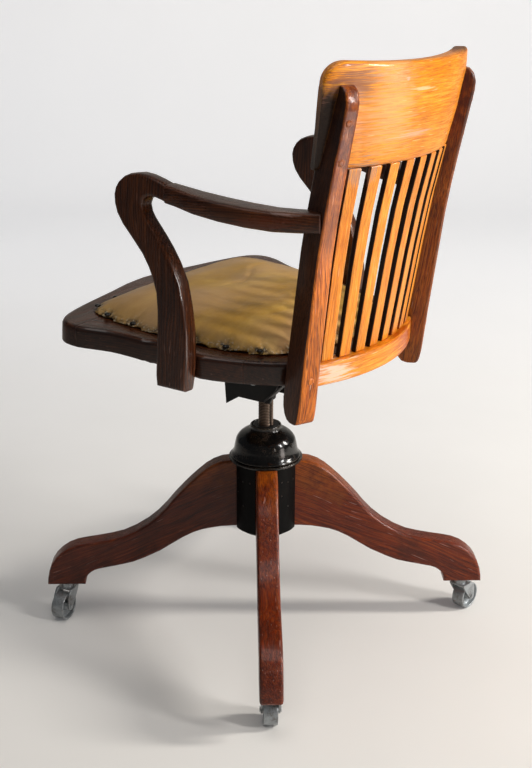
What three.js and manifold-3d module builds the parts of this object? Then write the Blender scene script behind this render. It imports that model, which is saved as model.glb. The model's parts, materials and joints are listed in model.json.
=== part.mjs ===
// Bankers swivel chair: an oak armchair on a screw spindle, over four splayed legs with casters.
// Millimetres, +Z up, floor at z = 0. The sitter faces -Y and has the left hand at +X.
// The spindle axis is the line x = 0, y = 0. Angles are in degrees unless a name says otherwise.
import * as THREE from 'three';
import { mergeVertices } from 'three/addons/utils/BufferGeometryUtils.js';
import Module from 'manifold-3d';

const wasm = await Module();
wasm.setup();

// How pieces meet, and how finely round things are drawn
const gap = 0.3; // between two pieces that touch
const overrun = 4; // how far a cut runs past the face it leaves
const wideSteps = 32; // sides of a large turned piece
const rootSteps = 64; // sides of the cylinder where the legs meet the hub
const wheelSteps = 20; // sides of a wheel
const fineSteps = 16; // sides of a small turned piece
const axleSteps = 12;
const roundSteps = 2; // facets in a rounded edge
const bendSteps = 20; // facets along a bent board
const cornerSteps = 5; // facets in a broad rounded corner
const legSteps = { under: 20, top: 24 };
const armPostSteps = { front: 22, rear: 18 };
const frameSteps = { front: 24, side: 8, rear: 8 };
const padSteps = 26;
const hornSteps = { front: 6, eye: 6, back: 4 };
const whole = 2 * Math.PI;
const rightAngle = Math.PI / 2;

// Legs and feet
const legCount = 4;
const legAngle = 35.4; // of the first leg, from +X
const legThickness = 32;
const legRootRadius = 45;
const legReach = 341;
const legTopHeight = 267;
const legEdgeRound = 3.5;
const legTopShares = [
  [-0.03, 1], [0.052, 1], [0.126, 0.962], [0.187, 0.895], [0.251, 0.809], [0.322, 0.699],
  [0.389, 0.584], [0.474, 0.481], [0.582, 0.397], [0.686, 0.359], [0.794, 0.333],
  [0.868, 0.306], [0.929, 0.249], [0.97, 0.177], [0.993, 0.086], [1, 0],
];
const legUnderShares = [
  [0.801, 0], [0.797, 0.048], [0.781, 0.083], [0.754, 0.112], [0.72, 0.129], [0.626, 0.156],
  [0.528, 0.191], [0.44, 0.249], [0.389, 0.285], [0.288, 0.378], [0.207, 0.435],
  [0.14, 0.459], [0.059, 0.476], [-0.03, 0.478],
];

// Hub between the legs
const coreRadius = legRootRadius - gap;
const coreShare = 0.526; // of the height from the feet to the leg tops
const plateClearance = 1.2; // between the core and its cover plates
const plateThickness = 1.6;
const plateInnerRadius = legRootRadius + plateClearance;
const flangeRadius = 56;
const flangeThickness = 4;
const flangeEdgeRound = 1.2;
const bottomCapRadius = 40;
const bottomCapThickness = 5;

// Turning hub: dome, nut and key collar
const domeRadius = 50;
const domeHeight = 46;
const domeShares = [
  [1, 0], [1.02, 0.05], [1, 0.11], [0.93, 0.14], [0.93, 0.3], [0.925, 0.45], [0.88, 0.62],
  [0.78, 0.77], [0.63, 0.88], [0.5, 0.93], [0.47, 0.96], [0.46, 1],
];
const nutLength = 108;
const nutWall = 4.2;
const threadClearance = 0.25; // between the nut and the spindle
const collarRadius = 20;
const collarHeight = 4;

// Spindle
const spindleRadius = 11.25;
const spindleTail = 11.6; // below the nut
const threadShown = 42.1; // between the key collar and the yoke
const threadPitch = 2.5;
const keywayAngle = 79; // round the axis, from +X
const keywayWidth = 3.4;
const keywayDepth = 2.4;

// Casters
const wheelRadius = 21.5;
const wheelWidth = 20;
const wheelRimDepth = 3;
const wheelWebWidth = 5;
const wheelBossRadius = 6;
const axleRadius = 2.4;
const axleHeadRadius = 3.8;
const axleHeadHeight = 1.2;
const hornArmThickness = 2.8;
const hornClearance = 0.7; // between the wheel and an arm
const hornCrownThickness = 3;
const hornCrownClearance = 2.6; // above the wheel
const hornCrownReach = 9.5;
const hornEyeRadius = 6;
const hornWaistShare = 0.25; // of the trail, where the arm is slimmest
const hornCollarRadius = 9.2;
const hornCollarHeight = 7.2;
const stemRadius = 4.2;
const stemLength = 34;
const socketWall = 2;
const socketFlangeRadius = 11;
const socketFlangeThickness = 1.6;
const casterInset = 29; // of the stems, from the leg tips
const casterTrail = 15;
const casterAngles = [215, 12, 80, 172]; // of each trail, from +X

// Yoke on the spindle, pivot pin and tilt spring
const yokeBossWall = 3.75;
const yokeBossHeight = 38;
const spindleTopDrop = 13; // below the pivot
const pivotTubeRadius = 11;
const pivotTubeHalf = 27.4;
const pinRadius = 6;
const pinHeadRadius = 9;
const pinHeadHeight = 2.5;
const shelfDrop = 12; // of its top, below the pivot
const shelfThickness = 6;
const shelfHalfWidth = 17;
const shelfReach = 52;
const springCentre = 35;
const springRadius = 12;
const springWire = 4;
const springTurns = 6;
const springCurlSteps = 8;
const springSides = 5;

// Seat iron: two cheeks on the pin, a top plate and four arms under the frame
const cheekInner = 28;
const cheekThickness = 5;
const cheekOutline = {
  tipY: -50, tipDrop: 48, notchY: -27, floorDrop: 33, backY: 28, frontY: -58, rearY: 66,
};
const ironThickness = 5;
const ironArmWidth = 24;
const ironArmShares = [[0.52, -0.764], [0.48, 0.831]]; // of its ends, across the frame
const braceWidth = 18;
const braceThickness = 3.2;
const braceFoot = { y: 22, drop: 30 };
const braceHeadShares = [0.3415, 0.995];

// Seat frame; its plane falls towards the back
const seatRise = 95; // of the frame top over the pivot
const seatFallAngle = 5;
const frameThickness = 34;
const reliefDepth = 5; // of the hollow under the front of the frame
const reliefEnd = -48;
const reliefRun = 16;
const frameEdgeRound = 6;
const frameHalfWidth = 246;
const frameDepthFront = 233;
const frameFrontShares = [
  [0, -1], [0.18, -0.985], [0.36, -0.948], [0.58, -0.91], [0.78, -0.868], [0.9, -0.826],
  [0.965, -0.775], [0.997, -0.71], [0.995, -0.62], [0.96, -0.53], [0.922, -0.43],
  [0.903, -0.31], [0.897, -0.215],
];
const frameSideShares = [
  [0.862, -0.165], [0.862, 0.286], [0.836, 0.413], [0.79, 0.571], [0.73, 0.746], [0.66, 0.913],
];
const panelInset = 12; // inside the pad edge
const panelThickness = 9;
const panelLap = 12;
const railSplitShares = { front: -0.644, rear: 0.654 };

// Pad
const padWidthShare = 0.8; // of the frame's width
const padFrontMargin = 40;
const padRearMargin = 24;
const padCrown = 29;
const padFullness = 3.6; // how quickly the crown rises from the edge
const padEdge = 3;
const padRings = 9;
const padShares = [
  [0, -1], [0.35, -1], [0.66, -0.985], [0.86, -0.955], [0.945, -0.89], [0.985, -0.76],
  [1, -0.5], [0.985, -0.2], [0.945, 0.1], [0.875, 0.425], [0.77, 0.665], [0.635, 0.822],
  [0.45, 0.923], [0.225, 0.982], [0, 1],
];

// Arm posts
const armInnerShare = 0.866; // of the frame's half width
const armThickness = 26;
const armEdgeRound = 6;
const armLeanAngle = 3; // of each post, inwards from its foot
const armPostFront = -90;
const armPostDepth = 124;
const armPostDrop = 50; // of its foot, below the seat
const armPostHeight = 278;
const armJointShare = 0.7; // of its depth, where the arm rail begins
const armJointHeightShare = 0.8; // the foot of that joint
const armPostFrontShares = [
  [0.594, 0], [0.578, 0.083], [0.59, 0.198], [0.591, 0.36], [0.567, 0.464], [0.5, 0.54],
  [0.415, 0.61], [0.232, 0.7], [0.085, 0.77], [0.02, 0.83], [0.004, 0.888], [0.031, 0.93],
  [0.098, 0.966], [0.204, 0.991], [0.348, 1], [0.504, 0.989], [0.679, 0.964],
  [0.795, 0.945],
];
const armPostRearShares = [
  [0.826, 0.855], [0.71, 0.874], [0.574, 0.894], [0.477, 0.896], [0.405, 0.877],
  [0.39, 0.84], [0.439, 0.8], [0.506, 0.765], [0.623, 0.705], [0.739, 0.635],
  [0.874, 0.53], [0.956, 0.385], [1, 0.227], [0.99, 0.083], [0.966, 0],
];

// Arm rails. Each row holds how far back towards the post, how far in towards the post,
// the height on the arm post, the width and the thickness of one section.
const armRailHalfWidth = 22.5;
const armRailHalfThickness = 13;
const armRailShares = [
  [-0.047, -0.04, 0.927, 0.64, 0.93], [0.06, -0.02, 0.914, 0.7, 0.93],
  [0.199, 0.045, 0.892, 0.889, 0.95], [0.37, 0.174, 0.871, 1, 0.96],
  [0.541, 0.341, 0.854, 1, 0.97], [0.711, 0.527, 0.842, 0.911, 0.98],
  [0.85, 0.675, 0.842, 0.756, 0.99], [1, 0.861, 0.844, 0.622, 1],
];
const armRailEndPast = 3.5; // behind the arc through the back posts
const armRailRound = 6;

// Back: everything hangs on one arc, whose centre line runs through both posts
const backAngle = 25; // of the posts, about the vertical
const backRadiusShare = 1.5244; // of the frame's half width
const backDepth = 158; // from the spindle axis to the foot of a post
const postWidths = { foot: 30, head: 21 };
const postInset = { foot: 2.5, head: -3 }; // of its middle, towards the middle of the back
const postDepth = 40;
const postForward = { foot: 5.5, head: 0 }; // of its middle, ahead of the arc
const postEdgeRound = 4;
const postHeadRound = { front: 14, rear: 24, height: 32 };
const postFootRound = { front: 18, rear: 5, height: 30 };
const postEndSteps = 4;
const postDrop = 86; // of its foot, below the seat
const postLean = 64; // of its head, behind its foot
const postLineShares = [
  [0, 0], [0.067, 0.039], [0.202, 0.133], [0.377, 0.273], [0.529, 0.391], [0.632, 0.5],
  [0.749, 0.648], [0.848, 0.781], [0.929, 0.891], [1, 1],
]; // [height, lean]
const crestThickness = 24;
const crestForward = { foot: 9, middle: 10, head: 18 }; // of its centre, ahead of the post centres
const crestFlatten = { foot: -7, head: 12.5 }; // less than that at its ends
const crestCurl = { depth: 5, power: 8 }; // more than that at its very ends
const crestEndThickness = 18;
const crestMiddleShare = 0.4; // height of its middle
const crestLevelShares = [0.4, 0.7]; // of the edges along its faces
const crestHeight = 132; // at its ends
const crestOverArm = 18; // of its bottom, above the arm posts
const crestCover = 29; // over the heads of the posts
const crestDip = 8; // of its top edge, in the middle
const crestHalfAngle = 30.8; // at its top
const crestFootShare = 0.892; // of that turn, at its bottom
const crestCornerAngle = 6;
const crestCornerDrop = 31;
const crestEdgeRound = 5;
const lowRailThickness = 25;
const lowRailForward = { middle: 12, ends: 20 };
const lowRailHalfAngle = 24.2; // into the sides of the posts
const lowRailDrop = 13; // of its top, below the seat
const lowRailHeight = 30.5;
const lowRailEdgeRound = 2.5;
const slatCount = 8;
const slatSteps = 4;
const slatWidth = 20;
const slatThickness = 8.5;
const slatPitchAngle = { foot: 5.1, head: 5.55 };
const slatForward = { foot: 15.8, head: 5 };

const between = (low, high, share) => low + (high - low) * share;

// Heights that follow, from the floor up
const crownBottom = 2 * wheelRadius + hornCrownClearance;
const crownTop = crownBottom + hornCrownThickness;
const socketBottom = crownTop + hornCollarHeight + gap;
const footHeight = socketBottom + socketFlangeThickness + gap;
const socketTop = footHeight + stemLength + gap;
const coreBottom = between(legTopHeight, footHeight, coreShare);
const flangeBottom = legTopHeight + gap;
const flangeTop = flangeBottom + flangeThickness;
const domeBottom = flangeTop + gap;
const domeTop = domeBottom + domeHeight;
const nutBottom = domeTop - nutLength;
const spindleBottom = nutBottom - spindleTail;
const collarBottom = domeTop + gap;
const collarTop = collarBottom + collarHeight;
const yokeBottom = collarTop + threadShown;
const pivotHeight = yokeBottom + yokeBossHeight;
const spindleTop = pivotHeight - spindleTopDrop;
const shelfTop = pivotHeight - shelfDrop;
const seatHeight = pivotHeight + seatRise;
const armPostBottom = seatHeight - armPostDrop;
const armPostTop = armPostBottom + armPostHeight;
const crestBottom = armPostTop + crestOverArm;
const crestTop = crestBottom + crestHeight;
const postFoot = seatHeight - postDrop;
const postHead = crestTop - crestCover;
const lowRailTop = seatHeight - lowRailDrop;
const lowRailBottom = lowRailTop - lowRailHeight;
const lowRailMiddle = (lowRailBottom + lowRailTop) / 2;

// Widths and depths that follow
const casterRadius = legReach - casterInset;
const nutInner = spindleRadius + threadClearance;
const nutOuter = nutInner + nutWall;
const hubBoreRadius = nutOuter + gap; // through the core, the flange and the dome
const yokeBossRadius = spindleRadius + yokeBossWall;
const backRadius = frameHalfWidth * backRadiusShare;
const armInner = frameHalfWidth * armInnerShare;

const part = new THREE.Group();
part.name = 'bankers_swivel_chair';

// Materials
const coat = (color, roughness, metalness = 0) =>
  new THREE.MeshStandardMaterial({ color, roughness, metalness });
const darkOak = coat(0x4a2415, 0.45);
const warmOak = coat(0xa8581c, 0.4);
const legOak = coat(0x5a2614, 0.5);
const leather = coat(0x9c7a34, 0.5);
const plywood = coat(0x7a5a38, 0.8);
const enamel = coat(0x0c0d0f, 0.3, 0.3);
const castIron = coat(0x17181a, 0.6, 0.6);
const steel = coat(0x8b8780, 0.4, 0.9);
const springSteel = coat(0x4c4a47, 0.45, 0.9);

// Closed solids
const radians = (degrees) => THREE.MathUtils.degToRad(degrees);

function volumeOf(geometry) {
  const p = geometry.attributes.position;
  const index = geometry.index.array;
  const [a, b, c] = [new THREE.Vector3(), new THREE.Vector3(), new THREE.Vector3()];
  let sum = 0;
  for (let k = 0; k < index.length; k += 3) {
    a.fromBufferAttribute(p, index[k]);
    b.fromBufferAttribute(p, index[k + 1]);
    c.fromBufferAttribute(p, index[k + 2]);
    sum += a.dot(b.cross(c));
  }
  return sum;
}

// Joins equal corners, drops collapsed triangles and turns the faces outwards.
function closed(geometry) {
  for (const name of Object.keys(geometry.attributes)) {
    if (name !== 'position') geometry.deleteAttribute(name);
  }
  const merged = mergeVertices(geometry);
  const kept = [];
  const index = merged.index.array;
  for (let k = 0; k < index.length; k += 3) {
    const [a, b, c] = [index[k], index[k + 1], index[k + 2]];
    if (a !== b && b !== c && c !== a) kept.push(a, b, c);
  }
  merged.setIndex(kept);
  if (volumeOf(merged) < 0) merged.setIndex(kept.reverse());
  return merged;
}

function fromLists(corners, triangles) {
  const geometry = new THREE.BufferGeometry();
  geometry.setAttribute('position', new THREE.Float32BufferAttribute(corners.flat(), 3));
  geometry.setIndex(triangles.flat());
  return closed(geometry);
}

function toManifold(geometry) {
  const solid = closed(geometry);
  const vertProperties = new Float32Array(solid.attributes.position.array);
  const triVerts = new Uint32Array(solid.index.array);
  return new wasm.Manifold(new wasm.Mesh({ numProp: 3, vertProperties, triVerts }));
}

function fromManifold(solid) {
  const mesh = solid.getMesh();
  const geometry = new THREE.BufferGeometry();
  geometry.setAttribute('position', new THREE.BufferAttribute(new Float32Array(mesh.vertProperties), 3));
  geometry.setIndex(Array.from(mesh.triVerts));
  return closed(geometry);
}

const combine = (way) => (first, ...others) =>
  fromManifold(others.reduce((solid, next) => solid[way](toManifold(next)), toManifold(first)));
const join = combine('add');
const cut = combine('subtract');
const keep = combine('intersect');

// Shapes
function box(x0, x1, y0, y1, z0, z1) {
  const geometry = new THREE.BoxGeometry(x1 - x0, y1 - y0, z1 - z0);
  return geometry.translate((x0 + x1) / 2, (y0 + y1) / 2, (z0 + z1) / 2);
}

// A turned body about Z from [radius, height] pairs; a bored one closes on its first pair.
function turned(pairs, steps) {
  const points = pairs.map(([radius, height]) => new THREE.Vector2(radius, height));
  return closed(new THREE.LatheGeometry(points, steps).rotateX(rightAngle));
}

const rod = (radius, bottom, top, steps = fineSteps) =>
  turned([[0, bottom], [radius, bottom], [radius, top], [0, top]], steps);

const tube = (inner, outer, bottom, top, steps = fineSteps) =>
  turned([[inner, bottom], [outer, bottom], [outer, top], [inner, top], [inner, bottom]], steps);

const pointsOf = (outline) => outline.map(([x, y]) => new THREE.Vector2(x, y));
const turnsRight = (outline) => THREE.ShapeUtils.area(pointsOf(outline)) < 0;
const turnedLeft = (outline) => (turnsRight(outline) ? [...outline].reverse() : outline);

// Moves every side of a closed outline, drawn turning left, inwards by the same distance.
function inset(outline, distance) {
  const count = outline.length;
  const normals = outline.map(([x, y], k) => {
    const [nx, ny] = outline[(k + 1) % count];
    const length = Math.hypot(nx - x, ny - y);
    return [(y - ny) / length, (nx - x) / length];
  });
  return outline.map(([x, y], k) => {
    const [ax, ay] = normals[(k + count - 1) % count];
    const [bx, by] = normals[k];
    const scale = distance / (1 + ax * bx + ay * by);
    return [x + scale * (ax + bx), y + scale * (ay + by)];
  });
}

// A board from its outline, between two heights, with its long edges rounded.
function slab(drawn, low, high, round = 0) {
  const outline = turnedLeft(drawn);
  const steps = round > 0 ? roundSteps : 0;
  const levels = [];
  for (let k = 0; k <= steps; k += 1) {
    const turn = steps ? (k / steps) * rightAngle : rightAngle;
    levels.push([round * (1 - Math.sin(turn)), round * (1 - Math.cos(turn)) * Math.sign(steps)]);
  }
  const rings = [
    ...levels.map(([side, rise]) => [side, low + rise]),
    ...levels.reverse().map(([side, rise]) => [side, high - rise]),
  ];
  const corners = rings.flatMap(([side, z]) => inset(outline, side).map(([x, y]) => [x, y, z]));
  const count = outline.length;
  const triangles = [];
  for (let ring = 0; ring + 1 < rings.length; ring += 1) {
    for (let k = 0; k < count; k += 1) {
      const next = (k + 1) % count;
      const [a, b] = [ring * count + k, ring * count + next];
      triangles.push([a, b, b + count], [a, b + count, a + count]);
    }
  }
  const flat = pointsOf(inset(outline, round));
  const last = (rings.length - 1) * count;
  for (const [a, b, c] of THREE.ShapeUtils.triangulateShape(flat, [])) {
    triangles.push([a, c, b], [last + a, last + b, last + c]);
  }
  return fromLists(corners, triangles);
}

// A body through a row of sections that all have the same number of corners.
function loft(sections) {
  const count = sections[0].length;
  const corners = sections.flat();
  const triangles = [];
  for (let row = 0; row + 1 < sections.length; row += 1) {
    for (let k = 0; k < count; k += 1) {
      const next = (k + 1) % count;
      const [a, b] = [row * count + k, row * count + next];
      triangles.push([a, b, b + count], [a, b + count, a + count]);
    }
  }
  const last = (sections.length - 1) * count;
  for (let k = 1; k + 1 < count; k += 1) {
    triangles.push([0, k + 1, k], [last, last + k, last + k + 1]);
  }
  return fromLists(corners, triangles);
}

// Corners of a rounded rectangle, as [across, along] pairs.
function roundedRectangle(halfAcross, halfAlong, round) {
  const corners = [];
  const signs = [[1, 1], [-1, 1], [-1, -1], [1, -1]];
  signs.forEach(([sx, sy], quarter) => {
    for (let k = 0; k <= roundSteps; k += 1) {
      const turn = (quarter + k / roundSteps) * rightAngle;
      corners.push([
        sx * (halfAcross - round) + round * Math.cos(turn),
        sy * (halfAlong - round) + round * Math.sin(turn),
      ]);
    }
  });
  return corners;
}

// A smooth open line through [a, b] pairs, read off at even steps.
function smooth(pairs, steps) {
  const curve = new THREE.SplineCurve(pairs.map(([a, b]) => new THREE.Vector2(a, b)));
  return curve.getPoints(steps).map((p) => [p.x, p.y]);
}

// Stands a board drawn flat on edge: its first axis stays, its second becomes +Z.
const onEdge = (geometry) => geometry.rotateX(rightAngle);

// The same, with the first axis turned to +Y, so the board's thickness lies along +X.
const onEdgeFacing = (geometry) => onEdge(geometry).rotateZ(rightAngle);

function mirrored(geometry) {
  return closed(geometry.clone().scale(-1, 1, 1));
}

function add(name, geometry, material) {
  const mesh = new THREE.Mesh(geometry, material);
  mesh.name = name;
  part.add(mesh);
}

const polar = (radius, degrees) => [
  radius * Math.cos(radians(degrees)),
  radius * Math.sin(radians(degrees)),
];

// Legs
const legNames = ['rear_left', 'front_left', 'front_right', 'rear_right'];
const legAngles = [0, -1, -2, -3].map((quarter) => legAngle + (quarter * 360) / legCount);

function leg(turn) {
  const place = ([u, v]) => [
    legRootRadius + u * (legReach - legRootRadius),
    footHeight + v * (legTopHeight - footHeight),
  ];
  const outline = [
    ...smooth(legUnderShares.slice().reverse().map(place), legSteps.under),
    ...smooth(legTopShares.slice().reverse().map(place), legSteps.top),
  ];
  const upright = onEdge(slab(outline, -legThickness / 2, legThickness / 2, legEdgeRound));
  const root = rod(legRootRadius, coreBottom - overrun, legTopHeight + overrun, rootSteps);
  const above = rod(legReach, legTopHeight, legTopHeight + overrun);
  const bore = rod(stemRadius + socketWall + gap, footHeight - overrun, socketTop + gap);
  const bored = cut(upright, root, above, bore.translate(casterRadius, 0, 0));
  return bored.rotateZ(radians(turn));
}

legNames.forEach((name, k) => add(`leg_${name}`, leg(legAngles[k]), legOak));

// Hub core, its cover plates between the legs, the flange and the bottom cap
add('hub_core', tube(hubBoreRadius, coreRadius, coreBottom, legTopHeight, wideSteps), castIron);

function coverPlate(turn) {
  const outer = plateInnerRadius + plateThickness;
  const shell = tube(plateInnerRadius, outer, coreBottom, legTopHeight, rootSteps);
  const side = legThickness / 2 + gap;
  const past = outer + overrun;
  const quarter = box(side, past, side, past, coreBottom - overrun, legTopHeight + overrun);
  return keep(shell, quarter).rotateZ(radians(turn));
}

legNames.forEach((name, k) => add(`cover_plate_${k + 1}`, coverPlate(legAngles[k]), enamel));

add('hub_flange', turned([
  [hubBoreRadius, flangeBottom],
  [flangeRadius - flangeEdgeRound, flangeBottom],
  [flangeRadius, flangeBottom + flangeEdgeRound],
  [flangeRadius, flangeTop - flangeEdgeRound],
  [flangeRadius - flangeEdgeRound, flangeTop],
  [hubBoreRadius, flangeTop],
  [hubBoreRadius, flangeBottom],
], wideSteps), enamel);
const capTop = coreBottom - gap;
add('hub_bottom_cap', rod(bottomCapRadius, capTop - bottomCapThickness, capTop, wideSteps), castIron);

// Dome, nut and key collar
add('hub_dome', turned([
  [hubBoreRadius, domeBottom],
  ...domeShares.map(([u, v]) => [u * domeRadius, domeBottom + v * domeHeight]),
  [hubBoreRadius, domeTop],
  [hubBoreRadius, domeBottom],
], wideSteps), enamel);
add('height_nut', tube(nutInner, nutOuter, nutBottom, domeTop, wideSteps), steel);

function keyOf(width, depth, bottom, top) {
  const outer = spindleRadius + overrun;
  const slot = box(spindleRadius - depth, outer, -width / 2, width / 2, bottom, top);
  return slot.rotateZ(radians(keywayAngle));
}

function keyCollar() {
  const ring = tube(spindleRadius + gap, collarRadius, collarBottom, collarTop, wideSteps);
  return join(ring, keyOf(keywayWidth - 2 * gap, keywayDepth - gap, collarBottom, collarTop));
}
add('key_collar', keyCollar(), enamel);

// Spindle with its keyway
add('spindle', cut(
  rod(spindleRadius, spindleBottom, spindleTop, wideSteps),
  keyOf(keywayWidth, keywayDepth, spindleBottom - overrun, yokeBottom),
), steel);

// Casters
const armInnerFace = wheelWidth / 2 + hornClearance;

function wheel() {
  const half = wheelWidth / 2;
  const web = wheelWebWidth / 2;
  const rim = wheelRadius - wheelRimDepth;
  const bore = axleRadius + gap;
  const ring = turned([
    [bore, -half], [wheelBossRadius, -half], [wheelBossRadius + web, -web], [rim, -web],
    [rim, -half], [wheelRadius - gap, -half], [wheelRadius, -half + gap],
    [wheelRadius, half - gap], [wheelRadius - gap, half], [rim, half], [rim, web],
    [wheelBossRadius + web, web], [wheelBossRadius, half], [bore, half], [bore, -half],
  ], wheelSteps);
  return ring.rotateX(rightAngle).translate(casterTrail, 0, wheelRadius);
}

function axle() {
  const half = armInnerFace + hornArmThickness;
  const tip = half + gap + axleHeadHeight;
  const pin = turned([
    [0, -tip], [axleHeadRadius, -tip], [axleHeadRadius, -half - gap], [axleRadius, -half - gap],
    [axleRadius, half + gap], [axleHeadRadius, half + gap], [axleHeadRadius, tip], [0, tip],
  ], axleSteps);
  return pin.rotateX(rightAngle).translate(casterTrail, 0, wheelRadius);
}

function hornArm(side) {
  const front = smooth([
    [-hornCrownReach, crownTop],
    [-hornCrownReach, crownBottom],
    [casterTrail * hornWaistShare, wheelRadius + hornEyeRadius],
    [casterTrail - hornEyeRadius, wheelRadius],
  ], hornSteps.front);
  const eye = [];
  for (let k = 1; k < hornSteps.eye; k += 1) {
    const turn = Math.PI * (1 + k / hornSteps.eye);
    eye.push([casterTrail + hornEyeRadius * Math.cos(turn), wheelRadius + hornEyeRadius * Math.sin(turn)]);
  }
  const back = smooth([
    [casterTrail + hornEyeRadius, wheelRadius],
    [casterTrail + hornEyeRadius, 2 * wheelRadius - hornEyeRadius],
    [hornCrownReach + hornEyeRadius / 2, crownTop],
  ], hornSteps.back);
  const board = slab([...front, ...eye, ...back], armInnerFace, armInnerFace + hornArmThickness);
  const hole = rod(axleRadius + gap, 0, armInnerFace + hornArmThickness + overrun);
  const plate = onEdge(cut(board, hole.translate(casterTrail, wheelRadius, 0)));
  return side > 0 ? plate : closed(plate.scale(1, -1, 1));
}

function horn() {
  const outer = armInnerFace + hornArmThickness;
  const crown = box(-hornCrownReach, hornCrownReach, -outer, outer, crownBottom, crownTop);
  const collar = rod(hornCollarRadius, crownBottom, socketBottom - gap, wideSteps);
  const stem = rod(stemRadius, crownBottom, footHeight + stemLength - gap);
  return join(crown, collar, stem, hornArm(1), hornArm(-1));
}

function socket() {
  const inner = stemRadius + gap;
  const outer = stemRadius + socketWall;
  return turned([
    [inner, socketBottom], [socketFlangeRadius, socketBottom],
    [socketFlangeRadius, footHeight - gap], [outer, footHeight - gap],
    [outer, socketTop], [inner, socketTop], [inner, socketBottom],
  ], fineSteps);
}

legNames.forEach((name, k) => {
  const [x, y] = polar(casterRadius, legAngles[k]);
  const place = (geometry) => geometry.rotateZ(radians(casterAngles[k])).translate(x, y, 0);
  add(`caster_socket_${name}`, place(socket()), steel);
  add(`caster_horn_${name}`, place(horn()), steel);
  add(`caster_axle_${name}`, place(axle()), steel);
  add(`caster_wheel_${name}`, place(wheel()), steel);
});

// Yoke: a boss over the spindle, the pivot tube across its head and the spring shelf behind
function yoke() {
  const boss = rod(yokeBossRadius, yokeBottom, pivotHeight, wideSteps);
  const tubeBody = rod(pivotTubeRadius, -pivotTubeHalf, pivotTubeHalf, wideSteps);
  const across = (geometry) => geometry.rotateY(rightAngle).translate(0, 0, pivotHeight);
  const shelf = box(-shelfHalfWidth, shelfHalfWidth, 0, shelfReach, shelfTop - shelfThickness, shelfTop);
  const spindleBore = rod(spindleRadius + gap, yokeBottom - overrun, spindleTop + gap, wideSteps);
  const pinBore = rod(pinRadius + gap, -pivotTubeHalf - overrun, pivotTubeHalf + overrun, wideSteps);
  return cut(join(boss, across(tubeBody), shelf), spindleBore, across(pinBore));
}
add('tilt_yoke', yoke(), castIron);

const pinHalf = cheekInner + cheekThickness + gap;
add('pivot_pin', turned([
  [0, -pinHalf - pinHeadHeight], [pinHeadRadius, -pinHalf - pinHeadHeight], [pinHeadRadius, -pinHalf],
  [pinRadius, -pinHalf], [pinRadius, pinHalf], [pinHeadRadius, pinHalf],
  [pinHeadRadius, pinHalf + pinHeadHeight], [0, pinHalf + pinHeadHeight],
], fineSteps).rotateY(rightAngle).translate(0, 0, pivotHeight), steel);

// Tilt spring: one open coil standing on the shelf
function tiltSpring() {
  const steps = springTurns * springCurlSteps;
  const wire = springWire / 2;
  const bottom = shelfTop + gap + wire;
  const [, , under] = seatPoint(0, springCentre + springRadius, -frameThickness - gap - ironThickness);
  const rise = under - gap - wire - bottom;
  const sections = [];
  const spine = [];
  for (let k = 0; k <= steps; k += 1) {
    const turn = (k / springCurlSteps) * whole;
    const [c, s] = [Math.cos(turn), Math.sin(turn)];
    const height = bottom + (k / steps) * rise;
    spine.push([springRadius * c, springRadius * s, height]);
    sections.push(Array.from({ length: springSides }, (_, side) => {
      const around = (side / springSides) * whole;
      const reach = springRadius + wire * Math.cos(around);
      return [reach * c, reach * s + springCentre, height + wire * Math.sin(around)];
    }));
  }
  let least = Infinity;
  for (let a = 0; a < spine.length; a += 1) {
    for (let b = a + springCurlSteps / 2; b < spine.length; b += 1) {
      const apart = Math.hypot(...[0, 1, 2].map((axis) => spine[a][axis] - spine[b][axis]));
      least = Math.min(least, apart - springWire);
    }
  }
  console.log(`tilt spring: least gap between curls ${least.toFixed(2)} mm`);
  return loft(sections);
}
add('tilt_spring', tiltSpring(), springSteel);

// Seat plane: geometry drawn flat with its top at zero is laid on the falling seat
const onSeat = (geometry) => geometry.rotateX(-radians(seatFallAngle)).translate(0, 0, seatHeight);

function seatPoint(x, y, z) {
  const place = new THREE.Vector3(x, y, z);
  place.applyAxisAngle(new THREE.Vector3(1, 0, 0), -radians(seatFallAngle));
  return [place.x, place.y, place.z + seatHeight];
}

// Depth of the middle line of a back post at a given height, read from its table.
function postCentre(height) {
  const level = (height - postFoot) / (postHead - postFoot);
  const below = postLineShares.filter(([share]) => share < level).length;
  const next = Math.min(Math.max(below, 1), postLineShares.length - 1);
  const [level1, lean1] = postLineShares[next];
  const [level0, lean0] = postLineShares[next - 1];
  const share = (level - level0) / (level1 - level0);
  return backDepth + postLean * between(lean0, lean1, share);
}

// Seat frame: one ring sawn into a front rail, two side rails and a back rail
const far = frameHalfWidth * 2;
const rearArcCentre = postCentre(seatHeight) - backRadius * Math.cos(radians(backAngle));
const rearArcRadius = backRadius - postForward.foot - postDepth / 2 - gap;
const rearCornerX = frameHalfWidth * frameSideShares.at(-1)[0];
const rearCornerY = rearArcCentre + Math.sqrt(rearArcRadius ** 2 - rearCornerX ** 2);
const framePoint = ([u, v]) => [u * frameHalfWidth, v * (v < 0 ? frameDepthFront : rearCornerY)];

function halfFrame() {
  const front = smooth(frameFrontShares.map(framePoint), frameSteps.front);
  const side = smooth(frameSideShares.slice(1).map(framePoint), frameSteps.side);
  const widest = Math.asin(rearCornerX / rearArcRadius);
  const rear = [];
  for (let k = 1; k <= frameSteps.rear; k += 1) {
    const turn = widest * (1 - k / frameSteps.rear);
    rear.push([rearArcRadius * Math.sin(turn), rearArcCentre + rearArcRadius * Math.cos(turn)]);
  }
  return [...front, framePoint(frameSideShares[0]), ...side, ...rear];
}

function bothHalves(half) {
  const other = half.slice(1, -1).reverse().map(([x, y]) => [-x, y]);
  return [...half, ...other];
}


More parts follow.
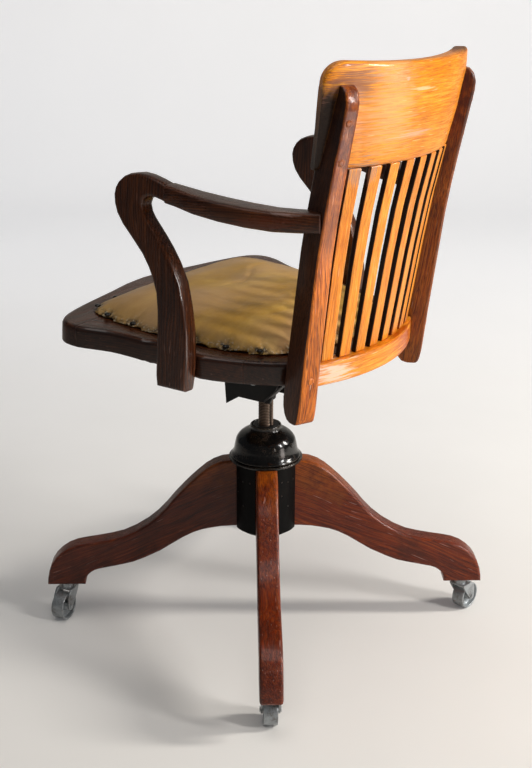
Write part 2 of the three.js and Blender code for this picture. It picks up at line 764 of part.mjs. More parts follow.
const frameOutline = turnedLeft(bothHalves(halfFrame()));
const padHalfWidth = frameHalfWidth * padWidthShare;
const padDepthFront = frameDepthFront - padFrontMargin;
const padDepthRear = rearArcCentre + rearArcRadius - padRearMargin;
const padPoint = ([u, v]) => [u * padHalfWidth, v * (v < 0 ? padDepthFront : padDepthRear)];
const padOutline = turnedLeft(bothHalves(smooth(padShares.map(padPoint), padSteps)));
const panelOutline = inset(padOutline, panelInset);

function seatFrame() {
  const body = slab(frameOutline, -frameThickness, 0, frameEdgeRound);
  const opening = slab(inset(panelOutline, panelLap), -frameThickness - overrun, overrun);
  const rebate = slab(panelOutline, -panelThickness - gap, overrun);
  const relief = onEdgeFacing(slab([
    [-far, -frameThickness - overrun], [reliefEnd + reliefRun, -frameThickness - overrun],
    [reliefEnd, reliefDepth - frameThickness], [-far, reliefDepth - frameThickness],
  ], -far, far));
  const board = onSeat(cut(body, opening, rebate, relief));
  const housings = [armPost(gap), backPost(gap)];
  const behind = lowRailBody(lowRailThickness / 2 + gap, postFoot, seatHeight);
  return cut(board, ...housings, ...housings.map(mirrored), behind);
}

const ring = seatFrame();
const railSplitFront = frameDepthFront * railSplitShares.front;
const railSplitRear = rearCornerY * railSplitShares.rear;
const sawn = (x0, x1, y0, y1) => keep(ring, box(x0, x1, y0, y1, 0, crestTop));
add('seat_rail_front', sawn(-far, far, -far, railSplitFront), darkOak);
add('seat_rail_back', sawn(-far, far, railSplitRear, far), darkOak);
add('seat_rail_left', sawn(0, far, railSplitFront + gap, railSplitRear - gap), darkOak);
add('seat_rail_right', sawn(-far, 0, railSplitFront + gap, railSplitRear - gap), darkOak);
// Seat iron
function seatIron() {
  const top = -frameThickness - gap;
  const low = top - ironThickness;
  const outer = cheekInner + cheekThickness;
  const plate = box(-outer, outer, cheekOutline.frontY, cheekOutline.rearY, low, top);
  const pieces = [];
  for (const [x, y] of ironArmShares.map(framePoint)) {
    for (const side of [1, -1]) {
      const length = Math.hypot(x, y);
      const bar = box(0, length, -ironArmWidth / 2, ironArmWidth / 2, low, top);
      pieces.push(bar.rotateZ(Math.atan2(y, side * x)));
    }
  }
  const spider = onSeat(join(plate, ...pieces));
  const cheekTop = seatHeight - frameThickness - ironThickness / 2;
  const fall = Math.tan(radians(seatFallAngle));
  const cheek = slab([
    [cheekOutline.frontY, cheekTop - cheekOutline.frontY * fall],
    [cheekOutline.tipY, pivotHeight - cheekOutline.tipDrop],
    [cheekOutline.notchY, pivotHeight - cheekOutline.floorDrop],
    [cheekOutline.backY, pivotHeight - cheekOutline.floorDrop],
    [cheekOutline.rearY, cheekTop - cheekOutline.rearY * fall],
  ], cheekInner, outer);
  const standing = onEdgeFacing(cheek);
  const bores = rod(pinRadius + gap, -outer - overrun, outer + overrun, wideSteps);
  const bore = bores.rotateY(rightAngle).translate(0, 0, pivotHeight);
  const brace = rearBrace(outer);
  return cut(join(spider, standing, mirrored(standing), brace, mirrored(brace)), bore);
}

// A flat bar from the foot of a cheek up to the back of the frame
function rearBrace(outer) {
  const foot = [outer - braceThickness, braceFoot.y, pivotHeight - braceFoot.drop];
  const top = -frameThickness - gap - braceThickness;
  const [x, y] = framePoint(braceHeadShares);
  const bend = seatPoint(x, y - braceWidth, top);
  const head = seatPoint(x, y, top);
  const half = braceWidth / 2;
  return loft([foot, bend, head].map(([u, v, z]) => [
    [u - half, v, z], [u + half, v, z],
    [u + half, v, z + braceThickness], [u - half, v, z + braceThickness],
  ]));
}
add('seat_iron', seatIron(), castIron);
add('seat_panel', onSeat(slab(inset(panelOutline, gap), -panelThickness, 0)), plywood);

// Pad: rings from the nailed edge up to the crown
function pad() {
  const corners = [];
  const triangles = [];
  const count = padOutline.length;
  for (let ringAt = 0; ringAt < padRings; ringAt += 1) {
    const share = ringAt / padRings;
    const rise = padEdge + (padCrown - padEdge) * (1 - (1 - share) ** padFullness);
    for (const [x, y] of padOutline) corners.push([x * (1 - share), y * (1 - share), gap + rise]);
  }
  for (let k = 0; k < count * (padRings - 1); k += 1) {
    const next = k % count === count - 1 ? k + 1 - count : k + 1;
    triangles.push([k, next, next + count], [k, next + count, k + count]);
  }
  const crown = corners.push([0, 0, gap + padCrown]) - 1;
  const floor = corners.length;
  padOutline.forEach(([x, y]) => corners.push([x, y, gap]));
  const middle = corners.push([0, 0, gap]) - 1;
  for (let k = 0; k < count; k += 1) {
    const next = (k + 1) % count;
    const last = (padRings - 1) * count;
    triangles.push([last + k, last + next, crown], [floor + next, floor + k, middle]);
    triangles.push([floor + k, floor + next, next], [floor + k, next, k]);
  }
  return onSeat(fromLists(corners, triangles));
}
add('seat_pad', pad(), leather);

// Arm posts
function armPost(grow = 0) {
  const place = ([u, v]) => [armPostFront + u * armPostDepth, armPostBottom + v * armPostHeight];
  const outline = [
    ...smooth(armPostFrontShares.map(place), armPostSteps.front),
    ...smooth(armPostRearShares.map(place), armPostSteps.rear),
  ];
  const board = slab(inset(turnedLeft(outline), -grow), -grow, armThickness + grow, armEdgeRound);
  const upright = onEdgeFacing(board);
  upright.translate(0, 0, -armPostBottom).rotateY(-radians(armLeanAngle));
  upright.translate(armInner, 0, armPostBottom);
  const jointAt = armPostFront + armJointShare * armPostDepth;
  const jointFoot = armPostBottom + armPostHeight * armJointHeightShare;
  const railEnd = box(0, far, jointAt, far, jointFoot, armPostTop + overrun);
  return cut(upright, railEnd);
}
const armPostLeft = armPost();
add('arm_post_left', armPostLeft, darkOak);
add('arm_post_right', mirrored(armPostLeft), darkOak);

// How far a rounded end has eaten into an edge at a given distance from that end.
function roundedOff(rise, depth, height) {
  return depth * (1 - Math.sqrt(1 - Math.max(1 - rise / height, 0) ** 2));
}

// Back posts: deep boards with a round head, cut away in front at the foot
function backPost(grow = 0) {
  const ends = [];
  for (let k = 0; k <= postEndSteps; k += 1) {
    ends.push(1 - Math.cos((k / postEndSteps) * rightAngle));
  }
  const [footEnd, headEnd] = [postFoot + postFootRound.height, postHead - postHeadRound.height];
  const heights = [
    ...ends.map((share) => postFoot + postFootRound.height * share),
    ...postLineShares.map(([share]) => between(postFoot, postHead, share))
      .filter((z) => z > footEnd + postEdgeRound && z < headEnd - postEdgeRound),
    ...ends.reverse().map((share) => postHead - postHeadRound.height * share),
  ];
  const side = radians(backAngle);
  const across = [Math.cos(side), -Math.sin(side)];
  const along = [Math.sin(side), Math.cos(side)];
  const sections = heights.map((z, k) => {
    const level = (z - postFoot) / (postHead - postFoot);
    const half = between(postWidths.foot, postWidths.head, level) / 2 + grow;
    const inwards = between(postInset.foot, postInset.head, level);
    const [up, down] = [z - postFoot, postHead - z];
    const front = roundedOff(up, postFootRound.front, postFootRound.height)
      + roundedOff(down, postHeadRound.front, postHeadRound.height);
    const rear = roundedOff(up, postFootRound.rear, postFootRound.height)
      + roundedOff(down, postHeadRound.rear, postHeadRound.height);
    const depth = postDepth - front - rear;
    const outline = roundedRectangle(
      half, depth / 2 + grow, Math.min(postEdgeRound, depth / 2),
    );
    const middle = (front - rear) / 2 - between(postForward.foot, postForward.head, level);
    const [cx, cy] = [backRadius * Math.sin(side), postCentre(z)];
    const end = k === 0 ? -grow : (k === heights.length - 1 ? grow : 0);
    return outline.map(([a, b]) => [
      cx + (a - inwards) * across[0] + (b + middle) * along[0],
      cy + (a - inwards) * across[1] + (b + middle) * along[1], z + end,
    ]);
  });
  return loft(sections);
}
const backPostLeft = backPost();
add('back_post_left', backPostLeft, warmOak);
add('back_post_right', mirrored(backPostLeft), warmOak);

// Arm rails
function armRail() {
  const jointAt = armPostFront + armJointShare * armPostDepth;
  const headX = armInner + armThickness / 2 - Math.sin(radians(armLeanAngle)) * armPostHeight;
  const postX = backRadius * Math.sin(radians(backAngle));
  const places = armRailShares.map(([back, inwards, height, wide, thick]) => {
    const z = armPostBottom + armPostHeight * height;
    const end = postCentre(z) + armRailEndPast;
    return {
      x: between(headX, postX, inwards),
      y: between(jointAt, end, back),
      z,
      half: armRailHalfWidth * wide,
      thick: armRailHalfThickness * thick,
    };
  });
  const sections = places.map(({ x, y, z, half, thick }, k, all) => {
    const before = all[Math.max(k - 1, 0)];
    const after = all[Math.min(k + 1, all.length - 1)];
    const heading = Math.atan2(after.y - before.y, after.x - before.x);
    const across = [Math.sin(heading), -Math.cos(heading)];
    return roundedRectangle(half, thick, armRailRound).map(([a, b]) => [
      x + a * across[0], y + a * across[1], z + b,
    ]);
  });
  const front = box(0, far, -far, jointAt + gap, 0, crestTop);
  return cut(loft(sections), front, backPost(gap));
}
const armRailLeft = armRail();
add('arm_rail_left', armRailLeft, darkOak);
add('arm_rail_right', mirrored(armRailLeft), darkOak);

// A point of the back: turned from the middle, ahead of the post centres, at a height
function backPoint(turn, forward, height) {
  const radius = backRadius - forward;
  const centre = postCentre(height) - backRadius * Math.cos(radians(backAngle));
  return [radius * Math.sin(turn), centre + radius * Math.cos(turn), height];
}

// Crest: a bent board with rounded upper corners, housed over the post heads
function crestPoint(turn, out, height) {
  const level = (height - crestBottom) / (crestTop - crestBottom);
  const share = turn / radians(crestHalfAngle);
  const { foot, middle, head } = crestForward;
  const forward = level < crestMiddleShare
    ? between(foot, middle, level / crestMiddleShare)
    : between(middle, head, (level - crestMiddleShare) / (1 - crestMiddleShare));
  const flatten = between(crestFlatten.foot, crestFlatten.head, level) * share ** 2;
  const { depth, power } = crestCurl;
  const curl = depth * Math.abs(share) ** power;
  const rise = depth * power * Math.abs(share) ** (power - 1) * Math.sign(share);
  const faces = turn + Math.atan2(rise, backRadius * radians(crestHalfAngle));
  const at = turn * between(crestFootShare, 1, level);
  const [x, y, z] = backPoint(at, forward - flatten + curl, height);
  return [x + out * Math.sin(faces), y + out * Math.cos(faces), z];
}

// Turns of the crest's sections, close together in its rounded corners
function crestTurns() {
  const reach = radians(crestHalfAngle);
  const corner = radians(crestCornerAngle);
  const end = [];
  for (let k = 0; k < cornerSteps; k += 1) {
    end.push(reach - corner * (1 - Math.cos((k / cornerSteps) * rightAngle)));
  }
  const middle = [];
  for (let k = 0; k <= bendSteps; k += 1) middle.push((reach - corner) * (1 - (2 * k) / bendSteps));
  return [...end, ...middle, ...end.reverse().map((turn) => -turn)];
}

function crest() {
  const reach = radians(crestHalfAngle);
  const corner = radians(crestCornerAngle);
  const edge = crestEdgeRound;
  const sections = crestTurns().map((turn) => {
    const half = between(crestThickness, crestEndThickness, (turn / reach) ** 4) / 2;
    const into = Math.min((reach - Math.abs(turn)) / corner, 1);
    const dip = crestDip * (1 - (turn / reach) ** 2);
    const drop = crestCornerDrop * (1 - Math.sqrt(1 - (1 - into) ** 2));
    const rise = crestTop - crestBottom - dip - drop;
    const faceLevels = crestLevelShares.map((share) => rise * share);
    const face = faceLevels.map((up) => [half, up]);
    const back = [[half - edge, 0], [half, edge], ...face, [half, rise - edge]];
    const front = [...back].reverse().map(([out, up]) => [-out, up]);
    const profile = [...back, [half - edge, rise], [edge - half, rise], ...front];
    return profile.map(([out, up]) => crestPoint(turn, out, crestBottom + up));
  });
  const housing = backPost(gap);
  return cut(loft(sections), housing, mirrored(housing));
}
add('crest', crest(), warmOak);

// Lower back rail, more strongly bent than the line through the posts
function lowRailBody(half, bottom, top) {
  const reach = radians(lowRailHalfAngle);
  const sections = [];
  for (let k = 0; k <= bendSteps; k += 1) {
    const share = (2 * k) / bendSteps - 1;
    const forward = between(lowRailForward.middle, lowRailForward.ends, share ** 2);
    const corners = roundedRectangle(half, (top - bottom) / 2, lowRailEdgeRound);
    sections.push(corners.map(([out, up]) => {
      const [x, y] = backPoint(reach * share, forward - out, lowRailMiddle);
      return [x, y, (top + bottom) / 2 + up];
    }));
  }
  return loft(sections);
}

function lowRail() {
  const housing = backPost(gap);
  const body = lowRailBody(lowRailThickness / 2, lowRailBottom, lowRailTop);
  return cut(body, housing, mirrored(housing));
}
add('low_rail', lowRail(), warmOak);

// Slats between the lower rail and the crest, fanning out upwards
function slat(place) {
  const bottom = lowRailTop + gap;
  const top = crestBottom - gap;
  const [w, t] = [slatWidth / 2, slatThickness / 2];
  const sections = [];
  for (let k = 0; k <= slatSteps; k += 1) {
    const level = k / slatSteps;
    const turn = radians(place * between(slatPitchAngle.foot, slatPitchAngle.head, level));
    const forward = between(slatForward.foot, slatForward.head, level);
    const [x, y, z] = backPoint(turn, forward, between(bottom, top, level));
    const [c, s] = [Math.cos(turn), Math.sin(turn)];
    const corners = [[-w, -t], [w, -t], [w, t], [-w, t]];
    sections.push(corners.map(([a, b]) => [x + a * c + b * s, y - a * s + b * c, z]));
  }
  return loft(sections);
}
for (let k = 0; k < slatCount; k += 1) {
  add(`slat_${k + 1}`, slat((slatCount - 1) / 2 - k), warmOak);
}

export default part;
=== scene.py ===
# %% [markdown]
# # Bankers swivel chair
# An oak office armchair on a screw spindle, seen from behind its left shoulder.
# The solids of the frame give every piece its place and its size. This script dresses them:
# it gives the wood its grain, stuffs the seat, cuts the screw thread and drives the nails.

# %% The frame
import json
import math

import bmesh
import bpy
import numpy as np
from mathutils import Matrix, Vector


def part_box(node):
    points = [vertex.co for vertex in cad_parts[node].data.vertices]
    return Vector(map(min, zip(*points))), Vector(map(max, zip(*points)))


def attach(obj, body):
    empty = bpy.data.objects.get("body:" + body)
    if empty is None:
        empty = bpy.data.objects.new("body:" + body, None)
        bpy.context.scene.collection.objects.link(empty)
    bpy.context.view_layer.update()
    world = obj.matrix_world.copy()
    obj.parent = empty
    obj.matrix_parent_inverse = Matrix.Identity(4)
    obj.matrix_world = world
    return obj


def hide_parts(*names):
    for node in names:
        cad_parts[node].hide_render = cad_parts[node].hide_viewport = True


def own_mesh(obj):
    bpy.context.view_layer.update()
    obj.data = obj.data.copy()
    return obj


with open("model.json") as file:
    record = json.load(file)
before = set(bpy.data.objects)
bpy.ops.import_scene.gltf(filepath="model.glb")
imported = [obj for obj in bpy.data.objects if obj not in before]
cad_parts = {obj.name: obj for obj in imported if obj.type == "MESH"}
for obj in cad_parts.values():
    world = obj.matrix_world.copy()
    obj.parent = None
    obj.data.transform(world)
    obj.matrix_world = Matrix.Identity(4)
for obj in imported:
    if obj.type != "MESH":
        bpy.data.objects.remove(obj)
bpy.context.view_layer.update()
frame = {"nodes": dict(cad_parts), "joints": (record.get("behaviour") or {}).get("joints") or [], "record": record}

BODY_OF = {node: body for body, nodes in frame["record"]["behaviour"]["bodies"].items() for node in nodes}
scene = bpy.context.scene

# %% [markdown]
# ## The camera
# The photograph was taken from a standing height behind the chair, with a normal lens.
# The camera stands where the four feet, the seat and the back line up with the picture,
# so its place and its three angles are written as numbers and not aimed by eye.

# %% Camera
CAMERA_LENS = 55.546
CAMERA_PLACE = (1.385184, 0.928321, 0.980041)
CAMERA_TURN, CAMERA_RISE, CAMERA_ROLL = np.radians([33.8292, 19.6349, 0.2716])


def unit(vectors):
    """Vectors of length one in the same directions."""
    return vectors / np.linalg.norm(vectors, axis=-1, keepdims=True)


def stand(obj, right, above, back, place):
    """Links an object and stands it up: its right, top, back and place are the columns of its matrix."""
    scene.collection.objects.link(obj)
    obj.matrix_world = Matrix(np.vstack([np.c_[right, above, back, place], [0, 0, 0, 1]]).tolist())


camera = bpy.data.objects.new("camera", bpy.data.cameras.new("camera"))
camera.data.lens = CAMERA_LENS
level = np.array([-math.sin(CAMERA_TURN), math.cos(CAMERA_TURN), 0])
back = unit(np.array([math.cos(CAMERA_TURN), math.sin(CAMERA_TURN), math.tan(CAMERA_RISE)]))
upright = np.cross(back, level)
right = math.cos(CAMERA_ROLL) * level + math.sin(CAMERA_ROLL) * upright
stand(camera, right, np.cross(back, right), back, CAMERA_PLACE)
scene.camera = camera
print("camera", round(camera.data.lens, 2), "mm, at", CAMERA_PLACE)

# %% [markdown]
# ## Light and floor
# Daylight falls from behind the chair. From the right of the picture it throws the bands of the
# slats on the seat; from straight behind it shines along the rims of the posts and arms. A tall
# narrow lamp stands for each, so the other sides stay dark. Light thrown back by the floor draws
# the thin lines down the upright edges, and a soft lamp overhead and a dim sky fill the rest. The
# levels are plain, so a colour comes out about as it is written.
# The far floor would go dark that way, so it glows a little, for the camera only.

# %% Floor, backdrop and lamps
FLOOR_FRONT, FLOOR_REAR, FLOOR_SIDE = 3.0, 3.2, 5.0
COVE_RADIUS, WALL_TOP = 0.8, 3.6
BACKDROP_TURN = math.radians(33.8)
GLOW_NEAR, GLOW_FAR = 0.03, 0.5
SKY = (0.93, 0.96, 1.0, 1.0)
SKY_STRENGTH = 0.09


def rgb(text):
    """Linear red, green, blue and one for a colour written as six hexadecimal digits."""
    channels = np.array([int(text[k:k + 2], 16) for k in (0, 2, 4)]) / 255
    linear = np.where(channels <= 0.04045, channels / 12.92, ((channels + 0.055) / 1.055) ** 2.4)
    return (*linear.tolist(), 1.0)


def plug(node, inputs):
    """Sets inputs of a node: another node's output is linked, and a number or a colour is written."""
    for name, value in inputs.items():
        if isinstance(value, bpy.types.NodeSocket):
            node.id_data.links.new(value, node.inputs[name])
        else:
            node.inputs[name].default_value = rgb(value) if isinstance(value, str) else value


def new_material(name):
    """An empty node tree with a Principled shader on its output."""
    material = bpy.data.materials.new(name)
    material.use_nodes = True
    tree = material.node_tree
    tree.nodes.clear()
    shader = tree.nodes.new("ShaderNodeBsdfPrincipled")
    output = tree.nodes.new("ShaderNodeOutputMaterial")
    tree.links.new(shader.outputs["BSDF"], output.inputs["Surface"])
    return material, tree, shader


def add(kind, inputs=None, tree=None, **settings):
    """One node, in the tree given or in that of the outputs which feed it. Settings are its own options;
    inputs are named, or numbered from nought."""
    inputs = inputs or {}
    tree = tree or next(value.id_data for value in inputs.values() if isinstance(value, bpy.types.NodeSocket))
    made = tree.nodes.new("ShaderNode" + kind)
    for name, value in settings.items():
        setattr(made, name, value)
    plug(made, inputs)
    return made


def on_chair(tree):
    """The place on the object, in metres, for a pattern that isn't tied to the fibres."""
    return add("TexCoord", tree=tree).outputs["Object"]


def shades(value, *stops):
    """A colour read off a value: each stop is a level and its colour, from low to high."""
    made = add("ValToRGB", {"Fac": value})
    elements = made.color_ramp.elements
    elements[0].position, elements[1].position = stops[0][0], stops[-1][0]
    for level_of_stop, _ in stops[1:-1]:
        elements.new(level_of_stop)
    for element, (_, colour) in zip(elements, stops):
        element.color = rgb(colour)
    return made.outputs["Color"]


def lamp(name, at, target, wide, tall, power, colour):
    """An oblong area lamp at a point, turned to face another and hidden from the camera."""
    data = bpy.data.lights.new(name, "AREA")
    data.shape, data.size, data.size_y = "RECTANGLE", wide, tall
    data.energy, data.color = power, colour
    holder = bpy.data.objects.new(name, data)
    away = unit(np.subtract(at, target))
    side = unit(np.cross((0, 0, 1), away))
    stand(holder, side, np.cross(away, side), away, at)
    holder.visible_camera = False


bend = np.linspace(0, math.pi / 2, 13)
cove = np.c_[-FLOOR_REAR - COVE_RADIUS * np.sin(bend), COVE_RADIUS - COVE_RADIUS * np.cos(bend)]
profile = np.r_[[[FLOOR_FRONT, 0.0]], cove, [[-FLOOR_REAR - COVE_RADIUS, WALL_TOP]]]
outward = np.array([math.cos(BACKDROP_TURN), math.sin(BACKDROP_TURN)])
sideways = np.array([-outward[1], outward[0]])
edges = [(*(outward * reach + sideways * side), height) for reach, height in profile
         for side in (-FLOOR_SIDE, FLOOR_SIDE)]
floor_mesh = bpy.data.meshes.new("floor")
floor_mesh.from_pydata(edges, [], [(k, k + 1, k + 3, k + 2) for k in range(0, len(edges) - 2, 2)])
floor_mesh.polygons.foreach_set("use_smooth", np.ones(len(floor_mesh.polygons), bool))
floor = bpy.data.objects.new("floor", floor_mesh)
scene.collection.objects.link(floor)

floor_material, tree, shader = new_material("pale_floor")
speckle = add("TexNoise", {"Scale": 3.0, "Detail": 3.0, "Vector": on_chair(tree)}).outputs["Fac"]
distance = add("VectorMath", {0: on_chair(tree), 1: (-outward[0], -outward[1], 0.4)},
               operation="DOT_PRODUCT").outputs["Value"]
far = add("MapRange", {0: distance, 1: -0.6, 2: 2.6, 3: GLOW_NEAR, 4: GLOW_FAR},
          interpolation_type="SMOOTHSTEP").outputs[0]
seen = add("LightPath", tree=tree).outputs["Is Camera Ray"]
plug(shader, {
    "Base Color": shades(speckle, (0, "d9d6d1"), (1, "e2dfdb")),
    "Roughness": 0.85, "Specular IOR Level": 0.2, "Emission Color": (0.93, 0.95, 1.0, 1.0),
    "Emission Strength": add("Math", {0: far, 1: seen}, operation="MULTIPLY").outputs[0]})
floor_mesh.materials.append(floor_material)

world = bpy.data.worlds.new("studio")
scene.world = world
world.use_nodes = True
plug(world.node_tree.nodes["Background"], {"Color": SKY, "Strength": SKY_STRENGTH})
lamp("right_window", (-1.62, 2.6, 1.9), (0, 0, 0.5), 0.34, 1.1, 92, (1.0, 0.965, 0.91))
lamp("rear_window", (-0.3, 3.1, 1.7), (0, 0, 0.5), 0.3, 1.2, 58, (1.0, 0.98, 0.96))
lamp("floor_bounce", (-0.15, 1.5, 0.03), (0.05, 0.1, 0.42), 0.4, 0.7, 5, (1.0, 0.9, 0.84))
lamp("top_lamp", (0.5, 0.2, 3.0), (0, 0, 0.5), 1.8, 1.8, 26, (1.0, 0.98, 0.95))
scene.view_settings.view_transform = "Standard"
print("floor, backdrop and four lamps")

# %% [markdown]
# ## Measures of the chair
# A few places come up again and again: the falling seat plane, the arc that the back hangs on
# and the lean of the posts. They are worked out once here, from the same sizes as the solids.

# %% Places on the seat and the back
SEAT_FALL = math.radians(5)
SEAT_HEIGHT = 0.497
BACK_RADIUS = 0.375
POST_TURN = math.radians(25)
POST_FOOT, POST_RISE = 0.411, 0.435
POST_DEPTH, POST_LEAN = 0.158, 0.064
POST_HEIGHTS = POST_FOOT + POST_RISE * np.array([0, .067, .202, .377, .529, .632, .749, .848, .929, 1])
POST_DEPTHS = POST_DEPTH + POST_LEAN * np.array([0, .039, .133, .273, .391, .5, .648, .781, .891, 1])
SEAT_TURN = np.array([[1, 0, 0], [0, math.cos(SEAT_FALL), -math.sin(SEAT_FALL)],
                      [0, math.sin(SEAT_FALL), math.cos(SEAT_FALL)]])


def from_seat(points):
    """Seat coordinates to the chair's frame: a turn about X by the seat's fall, then up by its height."""
    return points @ SEAT_TURN + (0, 0, SEAT_HEIGHT)


def to_seat(points):
    """The way back: down by the seat height, then the opposite turn."""
    return (points - (0, 0, SEAT_HEIGHT)) @ SEAT_TURN.T


def arc_centre(height):
    """Depth of the centre of the back's arc at a height: the post's depth less the radius times cosine."""
    return np.interp(height, POST_HEIGHTS, POST_DEPTHS) - BACK_RADIUS * math.cos(POST_TURN)


def smooth_line(points, steps):
    """A smooth line through points: between each pair, a Catmull-Rom cubic of the four nearest ones."""
    p = np.asarray(points, float)
    p = np.vstack([2 * p[0] - p[1], p, 2 * p[-1] - p[-2]])
    t = np.linspace(0, 1, steps, endpoint=False)[None, :, None]
    a, b, c, d = (p[k:len(p) - 3 + k, None] for k in range(4))
    square, cube = (2 * a - 5 * b + 4 * c - d) * t ** 2, (3 * b - a - 3 * c + d) * t ** 3
    line = 0.5 * (2 * b + (c - a) * t + square + cube)
    return np.vstack([line.reshape(-1, p.shape[1]), p[-2:-1]])


print("post centre over the seat", round(float(np.interp(SEAT_HEIGHT, POST_HEIGHTS, POST_DEPTHS)), 4))

# %% [markdown]
# ## How a piece is made
# A new piece is a surface over a grid of points. A board of the frame keeps its CAD shape: a copy
# has its loose triangles merged and its flat faces joined, so that edges can be rounded and curved
# faces shade smoothly. The copy then stands for the node. Wood also needs to know which way its
# fibres run, so every wooden piece carries an attribute called grain: metres along the fibres,
# across them, and into the board. Dirt and painted shade are stored in the same way, as one number
# for each place.

# %% Making pieces
def finish_piece(obj, body, material, nodes=()):
    """The piece rides on its body, takes its material and slot, and stands for the nodes it shows."""
    obj.data.materials.clear()
    obj.data.materials.append(material)
    if obj.name not in scene.collection.objects:
        scene.collection.objects.link(obj)
    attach(obj, body)
    if nodes:
        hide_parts(*nodes)
    return obj


def shade_smoothly(mesh, sharp_from):
    """Smooth faces, with an edge kept sharp where its two faces turn by more than the angle in degrees."""
    mesh.polygons.foreach_set("use_smooth", np.ones(len(mesh.polygons), bool))
    mesh.set_sharp_from_angle(angle=math.radians(sharp_from))
    mesh.update()


def surface(name, points, closed_rows=False, sharp_from=60):
    """A mesh over points[row, column], or over many such grids: neighbours are joined by quads, the columns
    close into a tube, and an open tube is capped."""
    rows, columns = points.shape[-3:-1]
    number = np.arange(rows * columns).reshape(rows, columns)
    starts = np.arange(0, points.size // 3, rows * columns)[:, None, None]
    down = np.vstack([number, number[:1]]) if closed_rows else number
    grid = np.hstack([down, down[:, :1]])
    quads = np.stack([grid[:-1, :-1], grid[:-1, 1:], grid[1:, 1:], grid[1:, :-1]], -1).reshape(-1, 4)
    faces = (quads + starts).reshape(-1, 4).tolist()
    if not closed_rows:
        faces += (np.stack([number[0, ::-1], number[-1]]) + starts).reshape(-1, columns).tolist()
    mesh = bpy.data.meshes.new(name)
    mesh.from_pydata(points.reshape(-1, 3).tolist(), [], faces)
    shell = bmesh.new()
    shell.from_mesh(mesh)
    bmesh.ops.remove_doubles(shell, verts=shell.verts, dist=1e-7)
    bmesh.ops.recalc_face_normals(shell, faces=shell.faces)
    shell.to_mesh(mesh)
    shell.free()
    shade_smoothly(mesh, sharp_from)
    return bpy.data.objects.new(name, mesh)


def carried_round(profile, places, axes, columns):
    """Points of a profile of radius and height, carried round an axis through each place: the radius runs
    along a circle of two directions across the axis, and the height along the axis itself."""
    places, axes = np.atleast_2d(places), unit(np.atleast_2d(axes))
    helper = np.where(np.abs(axes[:, 2:]) > 0.9, (1.0, 0, 0), (0, 0, 1.0))
    first = unit(np.cross(axes, helper))[:, None]
    second = np.cross(axes[:, None], first)
    around = np.linspace(0, 2 * math.pi, columns, endpoint=False)[:, None]
    ring = np.cos(around) * first + np.sin(around) * second
    radius, height = profile[:, 0, None, None], profile[:, 1, None, None]
    return places[:, None, None] + radius * ring[:, None] + height * axes[:, None, None]


def read(items, what):
    """Three numbers for each vertex or face, such as its place or its normal, as one array."""
    flat = np.zeros(len(items) * 3)
    items.foreach_get(what, flat)
    return flat.reshape(-1, 3)


def vertices_of(mesh):
    """All corners of a mesh as one array."""
    return read(mesh.vertices, "co")


def move_vertices(mesh, points):
    """Puts the corners of a mesh at new places."""
    mesh.vertices.foreach_set("co", points.ravel())


def set_amount(mesh, name, values, domain="POINT"):
    """Stores one number for each corner or face, which a finish reads as dirt, grease or painted shade."""
    mesh.attributes.new(name, "FLOAT", domain).data.foreach_set("value", values.astype(np.float32))


def set_grain(mesh, values, seed):
    """Stores the fibre coordinates, moved to another part of the log for each piece."""
    shifted = values + np.array([0.31, 0.057, 0.043]) * seed
    store = mesh.attributes.new("grain", "FLOAT_VECTOR", "POINT")
    store.data.foreach_set("vector", shifted.astype(np.float32).ravel())


def copy_of(node, name, rounding=0.0, sharp_from=38):
    """The node's solid with its triangles merged, its flat faces joined and its sharp edges rounded."""
    mesh = frame["nodes"][node].data.copy()
    mesh.name = name
    solid = bmesh.new()
    solid.from_mesh(mesh)
    bmesh.ops.remove_doubles(solid, verts=solid.verts, dist=1e-6)
    bmesh.ops.dissolve_limit(solid, angle_limit=math.radians(0.3), verts=solid.verts, edges=solid.edges)
    solid.to_mesh(mesh)
    solid.free()
    shade_smoothly(mesh, sharp_from)
    obj = bpy.data.objects.new(name, mesh)
    if rounding:
        edge = obj.modifiers.new("rounded_edges", "BEVEL")
        edge.width, edge.segments, edge.limit_method = rounding, 2, "ANGLE"
        edge.angle_limit, edge.harden_normals = math.radians(sharp_from), False
    even = obj.modifiers.new("even_faces", "WEIGHTED_NORMAL")
    even.keep_sharp, even.weight = True, 60
    return obj


# %% [markdown]
# ## Fibre directions
# A leg is sawn from a board along its slope, an arm post stands on end, the arm rail runs back to
# the post, and the crest and the lower rail follow the arc of the back. Each function turns places
# on a piece into fibre coordinates.

# %% Fibre directions
def turned_grain(points, heading, slope=0.0):
    """Fibres along a heading in plan, and down a slope: two turns, one about Z and one about the side."""
    x, y, z = points.T
    h, s = math.radians(heading), math.radians(slope)
    out, side = x * math.cos(h) + y * math.sin(h), y * math.cos(h) - x * math.sin(h)
    return np.c_[out * math.cos(s) + z * math.sin(s), z * math.cos(s) - out * math.sin(s), side]


def flat_grain(points, heading):
    """Fibres along a heading in a board that lies flat: across in plan, and into the board downwards."""
    return turned_grain(points, heading)[:, [0, 2, 1]]


def upright_grain(points, heading, lean=0.0):
    """Fibres up the piece; across and into the board lie in plan, turned by the heading."""
    out, height, side = turned_grain(points, heading).T
    return np.c_[height + lean * side, out, side - lean * height]


def bent_grain(points):
    """Fibres round the back's arc: turn times radius along, height across, distance from the arc inwards."""
    x, height = points[:, 0], points[:, 2]
    y = points[:, 1] - arc_centre(height)
    return np.c_[np.arctan2(x, y) * BACK_RADIUS, height, np.hypot(x, y) - BACK_RADIUS]
